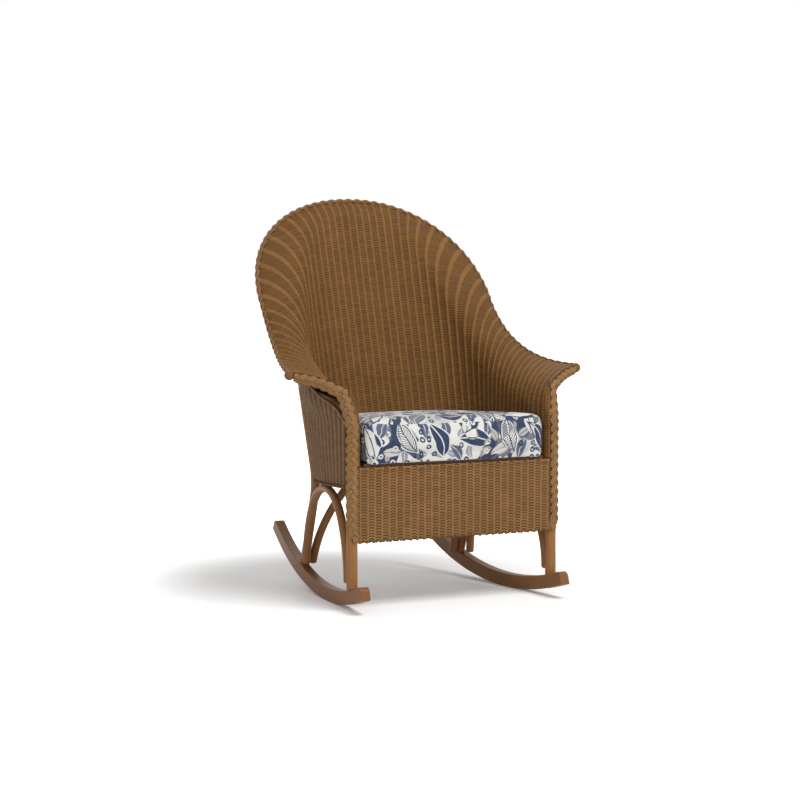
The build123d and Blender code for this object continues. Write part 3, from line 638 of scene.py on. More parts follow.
def braid_finish(name, color, shade_color, cords=9.0):
    """Bundles of twisted fibre: fine cords that run with each bundle, painted shade in the grooves
    and where its two sides dip under the next. u runs once round a bundle, v in metres along."""
    n = Nodes(bpy.data.materials.new(name))
    around, along = n.surface()
    half = n.math("FRACT", n.mul(around, 2.0))
    edge = n.ramp(n.math("ABSOLUTE", n.sub(half, 0.5)), 0.33, 0.5)
    lay = n.add(n.mul(around, cords), n.mul(along, 18.0))
    cord = n.off_middle(lay)
    groove = n.ramp(cord, 0.25, 0.5)
    twist = n.noise(n.place(), 700.0, 2.0)
    each = n.chance(n.join(n.math("FLOOR", lay), 5.0))
    shade = n.scaled(each, 0.22, 0.87)
    shade = n.add(shade, n.scaled(n.noise(n.place(), 30.0, 3.0), 0.24, -0.12))
    tinted = n.shaded(color, shade)
    # painted shade: the grooves between cords and the bundle's edges are darkened towards the shade
    # colour
    tinted = n.mix(n.mul(groove, 0.40), tinted, shade_color)
    tinted = n.mix(n.mul(edge, 0.80), tinted, shade_color)
    height = n.add(n.mul(twist, 0.4), n.mul(groove, -0.7))
    n.bump(n.sub(height, edge), 0.0008)
    return n.finish(tinted, 0.64, 0.14)


def pole_finish(name, color, grain):
    """Stained hardwood under satin lacquer: long soft streaks, fine pores and a faint mottle.
    grain holds how much shorter the pattern is along each axis."""
    n = Nodes(bpy.data.materials.new(name))
    stretched = n.place(grain)
    streak = n.noise(stretched, 38.0, 4.0, 0.6)
    pore = n.noise(stretched, 260.0, 2.0, 0.7)
    mottle = n.noise(n.place(), 7.0, 2.0)
    shade = n.add(n.scaled(streak, 0.34, 0.66), n.mul(mottle, 0.24))
    shade = n.add(shade, n.scaled(pore, 0.16, -0.03))
    tinted = n.shaded(color, shade)
    n.bump(n.add(n.mul(pore, 0.5), streak), 0.0003, 0.5)
    rough = n.scaled(mottle, 0.16, 0.34)
    return n.finish(tinted, rough, 0.16)


def steel_finish(name):
    """Brushed screw steel with fine turning marks."""
    n = Nodes(bpy.data.materials.new(name))
    marks = n.noise(n.place((1.0, 1.0, 6.0)), 400.0, 2.0)
    shade = n.scaled(marks, 0.3, 0.4)
    n.shader.inputs["Metallic"].default_value = 1.0
    n.bump(marks, 0.0001, 0.4)
    return n.finish(n.join(shade, shade, shade), n.scaled(marks, 0.2, 0.28))


def leaf_layer(n, u, v, cell, wide, seed):
    """One leaf in each cell of a staggered grid, turned by chance. Its half width is the wide
    share times one minus the square of the place along it. Returns how far inside the leaf a
    place is, its distance from the midrib, its place along the veins, and a chance value."""
    up = n.math("DIVIDE", v, cell)
    row = n.math("FLOOR", up)
    over = n.add(n.math("DIVIDE", u, cell), n.mul(n.math("MODULO", row, 2.0), 0.5))
    column = n.math("FLOOR", over)
    pick = n.chance(n.join(column, row, seed))
    other = n.chance(n.join(column, row, seed + 7.0))
    angle = n.mul(pick, 6.283)
    a = n.sub(n.math("FRACT", over), 0.5)
    b = n.sub(n.math("FRACT", up), 0.5)
    cosine, sine = n.math("COSINE", angle), n.math("SINE", angle)
    x = n.add(n.mul(a, cosine), n.mul(b, sine))
    y = n.sub(n.mul(b, cosine), n.mul(a, sine))
    bowed = n.add(y, n.mul(n.mul(x, x), 0.5))
    beside = n.math("ABSOLUTE", bowed)
    place = n.mul(x, 2.15)
    width = n.mul(n.sub(1.0, n.mul(place, place)), wide)
    width = n.mul(width, n.scaled(place, 0.35, 1.0))
    inside = n.sub(width, beside)
    slanted = n.sub(x, n.mul(beside, 0.9))
    veins = n.math("FRACT", n.mul(slanted, 15.0))
    return inside, beside, veins, other


def print_finish(name):
    """Linen printed with a scatter of leaves and berries in navy, slate and grey on off-white.
    The leaves are solid with a pale midrib, or outlined with ladder veins."""
    n = Nodes(bpy.data.materials.new(name))
    u, v = n.surface()
    wander = n.scaled(n.noise(n.join(u, v), 22.0, 2.0), 0.016, -0.008)
    u2, v2 = n.add(u, wander), n.sub(v, wander)
    paper, navy = linear(214, 212, 206), linear(45, 60, 88)
    slate, grey = linear(84, 95, 116), linear(146, 150, 158)
    wash = n.ramp(n.noise(n.join(u, v, 4.0), 11.0, 2.0), 0.52, 0.60)
    color = n.mix(n.mul(wash, 0.35), paper, grey)

    def solid(inside, beside):
        leaf = n.ramp(inside, -0.006, 0.006)
        rib = n.ramp(beside, 0.022, 0.012)
        return n.mul(leaf, n.sub(1.0, rib))

    def laddered(inside, beside, veins):
        leaf = n.ramp(inside, -0.006, 0.006)
        rim = n.ramp(inside, 0.034, 0.022)
        rung = n.ramp(n.math("ABSOLUTE", n.sub(veins, 0.5)), 0.20, 0.12)
        rib = n.ramp(beside, 0.020, 0.010)
        drawn = n.math("MAXIMUM", n.math("MAXIMUM", rim, rib), rung)
        return leaf, n.mul(leaf, drawn)

    for cell, seed, ink, share in ((0.046, 11.0, grey, 0.4), (0.061, 23.0, slate, 0.2)):
        moved = n.add(u2, 0.02 * seed)
        inside, beside, veins, other = leaf_layer(n, moved, v2, cell, 0.20, seed)
        shown = n.ramp(other, share - 0.01, share)
        color = n.mix(n.mul(solid(inside, beside), shown), color, ink)
    inside, beside, veins, other = leaf_layer(n, u2, n.add(v2, 0.013), 0.098, 0.215, 5.0)
    plain = n.ramp(other, 0.61, 0.59)
    leaf, drawn = laddered(inside, beside, veins)
    ladder = n.sub(1.0, plain)
    halo = n.ramp(inside, -0.045, -0.035)
    color = n.mix(halo, color, paper)
    color = n.mix(n.mul(drawn, ladder), color, navy)
    color = n.mix(n.mul(solid(inside, beside), plain), color, navy)
    berry_u, berry_v = n.math("DIVIDE", u2, 0.019), n.math("DIVIDE", v2, 0.019)
    berry = n.chance(n.join(n.math("FLOOR", berry_u), n.math("FLOOR", berry_v), 9.0))
    du = n.sub(n.math("FRACT", berry_u), 0.5)
    dv = n.sub(n.math("FRACT", berry_v), 0.5)
    far = n.math("SQRT", n.add(n.mul(du, du), n.mul(dv, dv)))
    disc = n.ramp(far, 0.40, 0.34)
    heart = n.ramp(far, 0.17, 0.12)
    apart = n.mul(n.ramp(berry, 0.68, 0.69), n.sub(1.0, halo))
    ink = n.mul(n.sub(disc, heart), apart)
    color = n.mix(ink, color, navy)
    both = tuple(np.add(paper, navy)[:3]) + (1.0,)
    swapped = n.mix(1.0, both, color, "SUBTRACT")
    ground = n.noise(n.join(u2, v2, 1.7), 8.0, 1.0)
    color = n.mix(n.ramp(ground, 0.500, 0.512), color, swapped)
    thread_u = n.math("SINE", n.mul(u, 5200.0))
    thread_v = n.math("SINE", n.mul(v, 5200.0))
    linen = n.add(n.mul(thread_u, 0.5), n.mul(thread_v, 0.5))
    slub = n.noise(n.join(u, v), 240.0, 3.0)
    shade = n.add(n.scaled(linen, 0.02, 0.94), n.mul(slub, 0.12))
    color = n.shaded(color, shade)
    n.bump(n.add(linen, n.mul(slub, 1.5)), 0.0002, 0.6)
    n.shader.inputs["Sheen Weight"].default_value = 0.15
    return n.finish(color, 0.85, 0.2)


weave = weave_finish(
    "woven fibre", linear(127, 91, 50), linear(111, 78, 41), linear(66, 43, 22), 0.7
)
apron_weave = weave_finish(
    "apron fibre", linear(139, 102, 61), linear(132, 97, 60), linear(58, 38, 21), 1.0, (0.15, 0.11)
)
# painted shade: the panels' copy of the woven fibre is darker than the bucket's, for the shade on
# the outer sides
panel_weave = weave_finish(
    "shaded panel fibre", linear(121, 91, 57), linear(92, 64, 35), linear(58, 38, 22), 0.55, (0.27, 0.21)
)
plait = braid_finish("plaited fibre", linear(146, 109, 69), linear(74, 49, 27))
rim_plait = braid_finish("rim plait", linear(134, 99, 61), linear(56, 36, 20), 6.0)
# One twist fibre in two copies: darker along the hems as painted shade, paler along the panels'
# heads and rear ends as painted light
painted_shade_twist = braid_finish("shaded twist", linear(112, 80, 48), linear(50, 33, 19), 4.0)
painted_light_twist = braid_finish("lit twist", linear(146, 115, 86), linear(98, 72, 50), 4.0)
upright_pole = pole_finish("upright pole", linear(144, 99, 56), (1.0, 1.0, 0.09))
# painted shade: the level poles (runners and arm rails) are a darker copy of the pole wood
shaded_level_pole = pole_finish("shaded level pole", linear(124, 84, 47), (1.0, 0.09, 1.0))
cross_pole = pole_finish("cross pole", linear(136, 96, 60), (0.09, 1.0, 1.0))
bent_pole = pole_finish("bent pole", linear(136, 94, 54), (0.4, 0.4, 0.3))
# painted shade: the deck is darkened where it shows as a line under the cushion
shaded_deck_board = pole_finish("shaded deck board", linear(84, 60, 38), (0.12, 1.0, 1.0))
# painted shade: a dark colour for parts that show only as shadow between strands and under the
# cushion
painted_shade_core = pole_finish("painted shade core", linear(70, 46, 28), (0.3, 0.3, 0.3))
screw_steel = steel_finish("screw steel")
printed_cloth = print_finish("printed linen")


# ---------------------------------------------------------------- woven pieces
def finish_piece(piece, slot, *nodes):
    """Rides the chair and stands for its CAD nodes, which it hides. The slot is not used."""
    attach(piece, "root")
    if nodes:
        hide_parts(*nodes)


def sided(side, name):
    return ("left_" if side > 0 else "right_") + name


def make_bucket():
    """The bucket's weave: stakes at an even pitch round the plan, rising into the flare."""
    count = round(2 * PLAN_LENGTH / RIB_PITCH)
    phases = stake_phases(count)
    signed = PLAN_LENGTH * (2 * phases / count - 1)
    ridge = RIDGE * (1 - ARM_CALM * rising(CALM_FROM, CALM_TO, np.abs(signed)))
    surface = bucket(signed, BUCKET_ROWS)
    piece = woven_piece("bucket_weave", surface, phases, weave, ridge[:, None])
    finish_piece(piece, "woven_fibre", "woven_shell")


def round_off(runs, reach):
    """Share of full thickness along a strand: quarter ellipses over the reach at both ends."""
    near = np.minimum(np.minimum(runs, runs[-1] - runs) / reach, 1)
    return np.sqrt(np.clip(1 - (1 - near) ** 2, 0, 1))


def make_binding(name, line, over, pitch, swing, radius, material):
    """Two strands twisted round a line: cosine of the turn across it, sine over it."""
    over = np.tile(over, (len(line), 1))
    across = unit(np.cross(over, np.gradient(line, axis=0)))
    runs = runs_of(line)
    where = np.arange(0, runs[-1], TWIST_STEP)
    centre, across, over = (read_line(points, runs, where) for points in (line, across, over))
    thick = radius * np.maximum(round_off(where, 2 * radius), THINNEST)
    grids = []
    for k in range(2):
        turn = 2 * math.pi * (where / pitch + k / 2)
        strand = centre + across * (swing * np.cos(turn))[:, None]
        strand = strand + over * (swing * np.sin(turn))[:, None]
        grids.append(tube_grid(strand, across, over, thick, thick, TWIST_SIDES))
    finish_piece(closed_piece(name, grids, material), "braided_fibre")


def make_rim_plait():
    """A flat plait of three bundles round the rim's rod, from arm tip to arm tip: each swings
    across as a sine and over as the sine of twice the turn."""
    signed = np.linspace(-PLAN_LENGTH, PLAN_LENGTH, 1200)
    run = PLAN_LENGTH - np.abs(signed)
    outward = rim_outward(run)
    centres = rim_edge(run) - outward * TRIM_RADIUS
    side = np.where(signed >= 0, 1, -1)
    centres[:, 0] *= side
    outward[:, 0] *= side
    runs = runs_of(centres)
    where = np.arange(KNOB, runs[-1] - KNOB, RIM_STEP)
    centre = read_line(centres, runs, where)
    across = unit(read_line(outward, runs, where))
    over = unit(np.cross(unit(np.gradient(centre, axis=0)), across))
    thick = np.maximum(round_off(where - where[0], RIM_END), THINNEST)
    wide, deep = RIM_BUNDLE_ACROSS * thick, RIM_BUNDLE_OVER * thick
    strands = []
    for k in range(3):
        turn = 2 * math.pi * (where / RIM_PERIOD + k / 3)
        line = centre + across * (RIM_SWING * np.sin(turn))[:, None]
        line = line + over * (RIM_LIFT * np.sin(2 * turn))[:, None]
        strands.append(tube_grid(line, across, over, wide, deep, RIM_SIDES))
    finish_piece(closed_piece("rim_plait", strands, rim_plait), "braided_fibre", "rim_trim")


def smooth_line(points, count):
    """Curve through points: Catmull-Rom spans, each a cubic of its four nearest points."""
    padded = np.concatenate([2 * points[:1] - points[1:2], points, 2 * points[-1:] - points[-2:-1]])
    where = np.linspace(0, len(points) - 1 - 1e-6, count)
    span, t = where.astype(int), (where % 1)[:, None]
    p0, p1, p2, p3 = (padded[span + k] for k in range(4))
    slope = (p2 - p0) / 2
    bend = p0 - 2.5 * p1 + 2 * p2 - 0.5 * p3
    last = 1.5 * (p1 - p2) + (p3 - p0) / 2
    return p1 + slope * t + bend * t**2 + last * t**3


def braid_line(step=BRAID_STEP):
    """The left braid from the arm's tip down the leg: runs, inner edge, wrap axis, the direction
    out across it, the direction ahead, and the wrap's radius."""
    share = np.linspace(ARM_FROM, ARM_TO, 6)
    zero = np.zeros(6)
    arm = ribs(zero, 1 + share)
    arm[:, 0] += front_spread(zero, arm[:, 2])
    down = unit((ribs(zero, 0.98 + share) - ribs(zero, 1 + share)) * np.array([1, 0, 1]))
    arm_out = np.stack([-down[:, 2], zero, down[:, 0]], 1)
    z = np.linspace(BRAID_TOP, BRAID_BOTTOM, 8)
    inner_x = LEG_X + BRAID_RADIUS * math.sin(BRAID_INNER)
    inner_y = LEG_Y - BRAID_RADIUS * math.cos(BRAID_INNER)
    leg = np.stack([np.full(8, inner_x), np.full(8, inner_y), z], 1)
    leg_out = np.tile([1.0, 0.0, 0.0], (8, 1))
    radius = np.concatenate([np.linspace(TIP_RADIUS, BRAID_RADIUS, 6), np.full(8, BRAID_RADIUS)])
    edge = smooth_line(np.concatenate([arm, leg]), LINE_POINTS)
    out = smooth_line(np.concatenate([arm_out, leg_out]), LINE_POINTS)
    radius = smooth_line(radius[:, None], LINE_POINTS)
    runs = runs_of(edge)
    where = np.arange(0, runs[-1], step)
    edge, out, radius = (read_line(points, runs, where) for points in (edge, out, radius))
    along = unit(np.gradient(edge, axis=0))
    out = unit(out - along * (out * along).sum(1, keepdims=True))
    ahead = np.cross(along, out)
    ahead *= np.where(ahead[:, 1:2] > 0, -1, 1)
    axis = edge - (out * math.sin(BRAID_INNER) + ahead * math.cos(BRAID_INNER)) * radius
    return where, edge, axis, out, ahead, radius[:, 0]


def braid_middle(where):
    """Angle of the braid's middle round the wrap: it turns inward at the lower end."""
    return BRAID_MIDDLE + BRAID_CURL * rising(where[-1] - CURL_LENGTH, where[-1], where)


def make_front_braid(side):
    """Plait of three strands wrapped about the arm's edge and the leg: each strand's angle swings
    as a sine and its height over the wrap as the sine of twice the turn."""
    where, _, axis, out, ahead, radius = braid_line()
    size = radius / BRAID_RADIUS
    thick = size * np.maximum(round_off(where, BRAID_END), THINNEST)
    wide, deep = BRAID_BUNDLE * thick, BRAID_DEPTH * thick
    strands = []
    for k in range(3):
        turn = 2 * math.pi * (where / BRAID_PERIOD + k / 3)
        angle = (braid_middle(where) + BRAID_SWING / BRAID_RADIUS * np.sin(turn))[:, None]
        radial = out * np.sin(angle) + ahead * np.cos(angle)
        across = out * np.cos(angle) - ahead * np.sin(angle)
        line = axis + radial * (radius + BRAID_LIFT * size * np.sin(2 * turn))[:, None]
        strands.append(tube_grid(line, across, radial, wide, deep, BRAID_SIDES))
    for grid, _ in strands:
        grid[..., 0] *= side
    piece = closed_piece(sided(side, "braid"), strands, plait)
    finish_piece(piece, "braided_fibre", sided(side, "front_braid"))


def make_wall_turn(side):
    """Weave that turns from the arm's front edge round the leg to the braid: quadratic curves
    over three points, level by level."""
    column = bucket(np.array([PLAN_LENGTH]), EDGE_ROWS)[0]
    edge = braid_line()[1]
    z = np.linspace(LOWEST_WALL - 1, TURN_TOP, TURN_ROWS)
    start = read_line(column, column[:, 2], z)
    stop = read_line(edge[::-1], edge[::-1, 2], z)
    turn = np.stack([start[:, 0], stop[:, 1] + TURN_ROUND * (start[:, 1] - stop[:, 1]), z], 1)
    phases = np.linspace(0.5, 1.5, TURN_COLUMNS)
    t = ((phases - 0.5) * TURN_LAP)[:, None, None]
    surface = start * (1 - t) ** 2 + turn * (2 * t * (1 - t)) + stop * t**2
    surface[..., 0] *= side
    piece = woven_piece(sided(side, "wall_turn"), surface, phases, weave, TURN_RIDGE)
    finish_piece(piece, "woven_fibre")


def make_tip_wrap(side):
    """Wound knob that closes the wrap at the arm's tip: an ellipsoid with a spiral ridge."""
    _, _, _, out, ahead, _ = braid_line()
    across, over = out[0], ahead[0]
    along = np.cross(across, over)
    theta = np.linspace(0, math.pi, 30)[:, None]
    turn = np.linspace(0, 2 * math.pi, 32, endpoint=False)[None, :]
    ridge = 1 + KNOB_RIDGE * np.cos(theta * 2 * KNOB_WINDINGS + turn)
    rise = (KNOB * np.sin(theta) * ridge)[..., None]
    middle = TIP + KNOB_OFFSET
    grid = middle + along * (KNOB * np.cos(theta) + 0 * turn)[..., None]
    grid = grid + rise * (across * np.cos(turn)[..., None] + over * np.sin(turn)[..., None])
    grid[..., 0] *= side
    turns = np.linspace(0, 1, 33)
    uv = np.stack(np.broadcast_arrays(theta * 4 / math.pi + 0 * turns, turns[None, :] * 0.06), -1)
    piece = closed_piece(sided(side, "tip_wrap"), [(grid, uv)], plait)
    finish_piece(piece, "braided_fibre")


def make_braid_core(side):
    """Band of fibre under the braid's strands, over the same angles round the wrap's axis, in a
    dark colour as painted shade between the strands.
    """
    where, _, axis, out, ahead, radius = braid_line(CORE_STEP)
    spread = np.radians(np.linspace(CORE_INNER, CORE_OUTER, CORE_COLUMNS))
    angle = braid_middle(where)[:, None] + spread
    radial = out[:, None] * np.sin(angle)[..., None] + ahead[:, None] * np.cos(angle)[..., None]
    surface = axis[:, None] + radial * (radius - CORE_SINK)[:, None, None]
    skin = radial * CORE_SKIN
    turns = np.broadcast_to(np.linspace(0, 5, CORE_COLUMNS), angle.shape)
    uv = np.stack([turns, np.broadcast_to(where[:, None] * MM, angle.shape)], -1)
    points, uv = sleeve(surface + skin, surface - skin, uv, uv)
    points[..., 0] *= side
    piece = closed_piece(sided(side, "braid_core"), [(points, uv)], painted_shade_core)
    finish_piece(piece, "braided_fibre")


def panel_surface(share, rows):
    """Left outer panel: from the leg's outer side back to the post, bowed outward by a parabola.
    Its top laps over the arm rail, and rises to the flare where the hand gap ends."""
    _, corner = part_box("left_rear_post")
    post_top = np.array(corner) / MM - SHIFT - np.array([POST_RADIUS, POST_RADIUS, 0])
    lean = (post_top - POST_KNEE)[:2] / (post_top - POST_KNEE)[2]
    rear_x, rear_y = POST_KNEE[:2] + lean * (RAIL_FRONT + RAIL_RISE - POST_KNEE[2])
    rail_y = LEG_Y + (rear_y - LEG_Y) * share
    rail_x = np.interp(rail_y, [LEG_Y, RAIL_STRAIGHT, rear_y], [LEG_X, LEG_X, rear_x])
    rail_z = RAIL_FRONT + RAIL_RISE * (1 - np.exp((LEG_Y - rail_y) / RAIL_BEND))
    top = rail_z - HEAD_DROP + PANEL_RISE * rising(RISE_START, RISE_STOP, share)
    bottom = PANEL_BOTTOM[0] + (PANEL_BOTTOM[1] - PANEL_BOTTOM[0]) * share
    z = bottom + (top - bottom) * rows
    post_x = POST_KNEE[0] + lean[0] * (z - POST_KNEE[2])
    post_y = POST_KNEE[1] + lean[1] * (z - POST_KNEE[2])
    front_x = LEG_X + LEG_RADIUS + PANEL_ROOM
    x = front_x + (post_x + POST_RADIUS - front_x) * share + PANEL_BOW * 4 * share * (1 - share)
    over_rail = rising(rail_z - LAP_FROM, rail_z - LAP_TO, z)
    x = x + np.maximum(rail_x + RAIL_RADIUS + OVER_RAIL - x, 0) * over_rail
    x = x - PANEL_TUCK * rising(TUCK_FROM, PANEL_END, share)
    return np.stack([x, LEG_Y + (post_y - LEG_Y) * share, z], -1)


def make_side_weave(side):
    """The panel's weave, and the twists that bind its lower, rear and upper edges."""
    phases = stake_phases(PANEL_STAKES)
    share = (phases / PANEL_STAKES * PANEL_END)[:, None]
    surface = panel_surface(share, np.linspace(0, 1, PANEL_ROWS)[None, :])
    surface[..., 0] *= side
    # the panel weave is the darker copy of the fibre, as painted shade
    piece = woven_piece(sided(side, "panel_weave"), surface, phases, panel_weave, PANEL_RIDGE)
    finish_piece(piece, "woven_fibre", sided(side, "side_panel"))
    along = np.linspace(0, 1, 80)
    whole = PANEL_END * along
    # the hem takes the darker twist (painted shade), the head and rear end the paler one (painted
    # light)
    edges = {
        "panel_hem": (whole, 0 * along + 0.006, 2.9, painted_shade_twist),
        "panel_head": (whole, 0 * along + 0.997, 2.4, painted_light_twist),
        "panel_end": (0 * along + PANEL_END, along, 2.8, painted_light_twist),
    }
    for name, (share, rows, radius, material) in edges.items():
        line = panel_surface(share, rows) + np.array([PANEL_TWIST_OUT, 0, 0])
        line[:, 0] *= side
        over = [float(side), 0, 0]
        make_binding(sided(side, name), line, over, 8 * radius, 0.75 * radius, radius, material)


def scalloped(phases):
    """How far each stake's end stands past the edge: the sine of its place in the pitch."""
    return SCALLOP * np.abs(np.sin(math.pi * phases))


def make_apron():
    """Front apron: upright stakes on a face that rolls forward at its top, with a bound hem."""
    count = round(2 * APRON_HALF / RIB_PITCH)
    phases = stake_phases(count)
    x = APRON_HALF * (2 * phases / count - 1)
    face_z = np.linspace(APRON_BOTTOM, APRON_ROLL[0][1], FACE_ROWS, endpoint=False)
    face = np.stack([np.full(FACE_ROWS, APRON_ROLL[0][0]), face_z], 1)
    profile = np.concatenate([face, smooth_line(np.array(APRON_ROLL), ROLL_ROWS)])
    reach = rising(APRON_BOTTOM, APRON_BOTTOM + SCALLOP_REACH, profile[:, 1])
    drop = scalloped(phases)[:, None] * (1 - reach)
    surface = np.stack(np.broadcast_arrays(x[:, None], profile[:, 0], profile[:, 1] - drop), -1)
    piece = woven_piece("apron_weave", surface.copy(), phases, apron_weave, APRON_RIDGE)
    finish_piece(piece, "woven_fibre", "front_apron")
    hem_z = APRON_BOTTOM - scalloped(phases) + APRON_TWIST_UP
    line = np.stack([x, 0 * x + APRON_MIDDLE, hem_z], 1)
    # the apron's hem takes the darker twist, as painted shade
    make_binding("apron_hem", line, [0.0, -1.0, 0.0], 20.0, 1.8, 2.2, painted_shade_twist)


def make_skirt():
    """Skirt of weave below the back, outside the seat hoop, from post to post."""
    _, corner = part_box("rear_apron")
    places = np.linspace(0, SKIRT_REACH, SKIRT_REACH + 1)
    line = seat_line(places, SKIRT_ROOM, SKIRT_TOP)
    reach = places[line[:, 0] < corner.x / MM - SKIRT_SPARE].max()
    count = round(2 * reach / RIB_PITCH)
    phases = stake_phases(count)
    line = seat_line(reach * (2 * phases / count - 1), SKIRT_ROOM, SKIRT_TOP)
    surface = np.repeat(line[:, None], SKIRT_ROWS, 1)
    surface[..., 2] = np.linspace(SKIRT_BOTTOM, SKIRT_TOP, SKIRT_ROWS)
    piece = woven_piece("skirt_weave", surface, phases, weave, SKIRT_RIDGE)
    finish_piece(piece, "woven_fibre", "rear_apron")


# ---------------------------------------------------------------- the cushion
def cushion_half():
    """Left half of the cushion's plan: straight front, round corner, then along the wall."""
    start = CUSHION_FRONT + CUSHION_CORNER - SIDE_FRONT
    run = np.linspace(start, PLAN_LENGTH, 160)
    level = (DECK_TOP + CUSHION_TOP) / 2
    side = seat_line(PLAN_LENGTH - run, -CUSHION_ROOM - SWELL, level)
    side[:, 0] += front_spread(run, np.full_like(run, level))
    side[:, 1] = np.minimum(side[:, 1], BACK_Y - CUSHION_BACK - SWELL)
    side[-1, 0] = 0
    corner = side[0, :2] + np.array([-CUSHION_CORNER, 0])
    turn = np.linspace(-math.pi / 2, 0, 24, endpoint=False)
    arc = corner + CUSHION_CORNER * np.stack([np.cos(turn), np.sin(turn)], 1)
    front = np.stack([np.linspace(0, corner[0], 40, endpoint=False), np.full(40, arc[0, 1])], 1)
    return np.concatenate([front, arc, side[:, :2]])


def cushion_ring():
    """Closed plan of the cushion in even steps, with its unit inward directions."""
    half = cushion_half()
    ring = np.concatenate([half, half[-2:0:-1] * np.array([-1, 1])])
    closed = np.concatenate([ring, ring[:1]])
    runs = runs_of(closed)
    ring = read_line(closed, runs, np.linspace(0, runs[-1], RING_POINTS, endpoint=False))
    step = unit(np.roll(ring, -1, 0) - np.roll(ring, 1, 0))
    return ring, np.stack([-step[:, 1], step[:, 0]], 1)


def cushion_profile():
    """Rows of (inset, share to the middle, height): flat below, quarter rounds, crowned above."""
    bottom, top = DECK_TOP + 0.6, CUSHION_TOP - SWELL
    foot, edge = CUSHION_FOOT, CUSHION_EDGE
    turn = np.linspace(0, math.pi / 2, 7)
    rows = [(foot, share, bottom) for share in np.linspace(1, 0.1, 12)]
    rows += [(foot * (1 - math.sin(a)), 0, bottom + foot * (1 - math.cos(a))) for a in turn]
    rows += [(0, 0, z) for z in np.linspace(bottom + foot, top - edge, 10)[1:-1]]
    rows += [(edge * (1 - math.cos(a)), 0, top - edge * (1 - math.sin(a))) for a in turn]
    for share in np.linspace(0, 1, 16)[1:]:
        rows.append((edge, share, top + CUSHION_CROWN * (1 - (1 - share) ** 2)))
    return np.array(rows)


def lowest_cloth(y):
    """Lowest height of the cover: on the deck, and an S lower ahead of it."""
    sunk = 1 - rising(DECK_FRONT - DROOP_REACH, DECK_FRONT + DROOP_REACH, y)
    return DECK_TOP + CLOTH_ROOM - CUSHION_DROOP * sunk


def evaluated_mesh(piece):
    """The mesh with its modifiers applied."""
    graph = bpy.context.evaluated_depsgraph_get()
    return bpy.data.meshes.new_from_object(piece.evaluated_get(graph))


def values_of(items, key, width, kind=np.float32):
    """What each of a mesh's items says, as rows of an array."""
    values = np.empty(len(items) * width, kind)
    items.foreach_get(key, values)
    return values.reshape(-1, width)


def corners_of(mesh):
    """Places of the mesh's corners, in metres."""
    return values_of(mesh.vertices, "co", 3).astype(float)


def swell(piece):
    """Cover filled from within: remeshed evenly, blown up a little as cloth, and held back where
    it would move further than the filling pushes it."""
    remesh = piece.modifiers.new("even", "REMESH")
    remesh.mode = "VOXEL"
    remesh.voxel_size = CLOTH_CELL
    piece.data = evaluated_mesh(piece)
    piece.modifiers.clear()
    before = corners_of(piece.data)
    cloth = piece.modifiers.new("filling", "CLOTH")
    cloth.settings.use_pressure = True
    cloth.settings.uniform_pressure_force = CLOTH_PRESSURE
    cloth.settings.quality = CLOTH_QUALITY
    cloth.settings.mass = CLOTH_MASS
    cloth.settings.effector_weights.gravity = 0
    for frame_number in range(1, CLOTH_FRAMES + 1):
        bpy.context.scene.frame_set(frame_number)
    after = corners_of(evaluated_mesh(piece))
    piece.modifiers.clear()
    bpy.context.scene.frame_set(1)
    move = after - before
    length = np.linalg.norm(move, axis=1, keepdims=True)
    after = before + move * np.minimum(1, SWELL_LIMIT * MM / np.maximum(length, 1e-9))
    after[:, 2] = np.maximum(after[:, 2], lowest_cloth(after[:, 1] / MM - SHIFT[1]) * MM)
    piece.data.vertices.foreach_set("co", after.astype(np.float32).ravel())
    divide = piece.modifiers.new("finer", "SUBSURF")
    divide.levels = divide.render_levels = 1
    piece.data = evaluated_mesh(piece)
    piece.modifiers.clear()


def nearest_on(ring, points):
    """Number of the nearest ring point, and its distance, for each point."""
    number, distance = np.empty(len(points), int), np.empty(len(points))
    for start in range(0, len(points), 1500):
        some = slice(start, start + 1500)
        gap = np.linalg.norm(points[some, None] - ring[None], axis=2)
        number[some] = gap.argmin(1)
        distance[some] = gap.min(1)
    return number, distance


def sew_seams(piece, ring, inward):
    """Grooves along the upper and lower edges of the boxing, where its strip is sewn on."""
    points = corners_of(piece.data) / MM - SHIFT
    normals = values_of(piece.data.vertex_normals, "vector", 3)
    inset = 0.3 * CUSHION_EDGE - 0.8 * SWELL
    depth = np.zeros(len(points))
    fall = CUSHION_FALL * (ring[:, 1] - CUSHION_FRONT)
    for level in (np.full(len(ring), DECK_TOP + SEAM_LEVEL), CUSHION_TOP - SEAM_LEVEL - fall):
        seam = np.column_stack([ring + inward * inset, level])
        _, gap = nearest_on(seam, points)
        depth += SEAM_DEPTH * np.exp(-((gap / SEAM_WIDTH) ** 2))
    points -= normals * depth[:, None]
    points[:, 2] = np.maximum(points[:, 2], lowest_cloth(points[:, 1]))
    piece.data.vertices.foreach_set("co", to_frame(points).astype(np.float32).ravel())


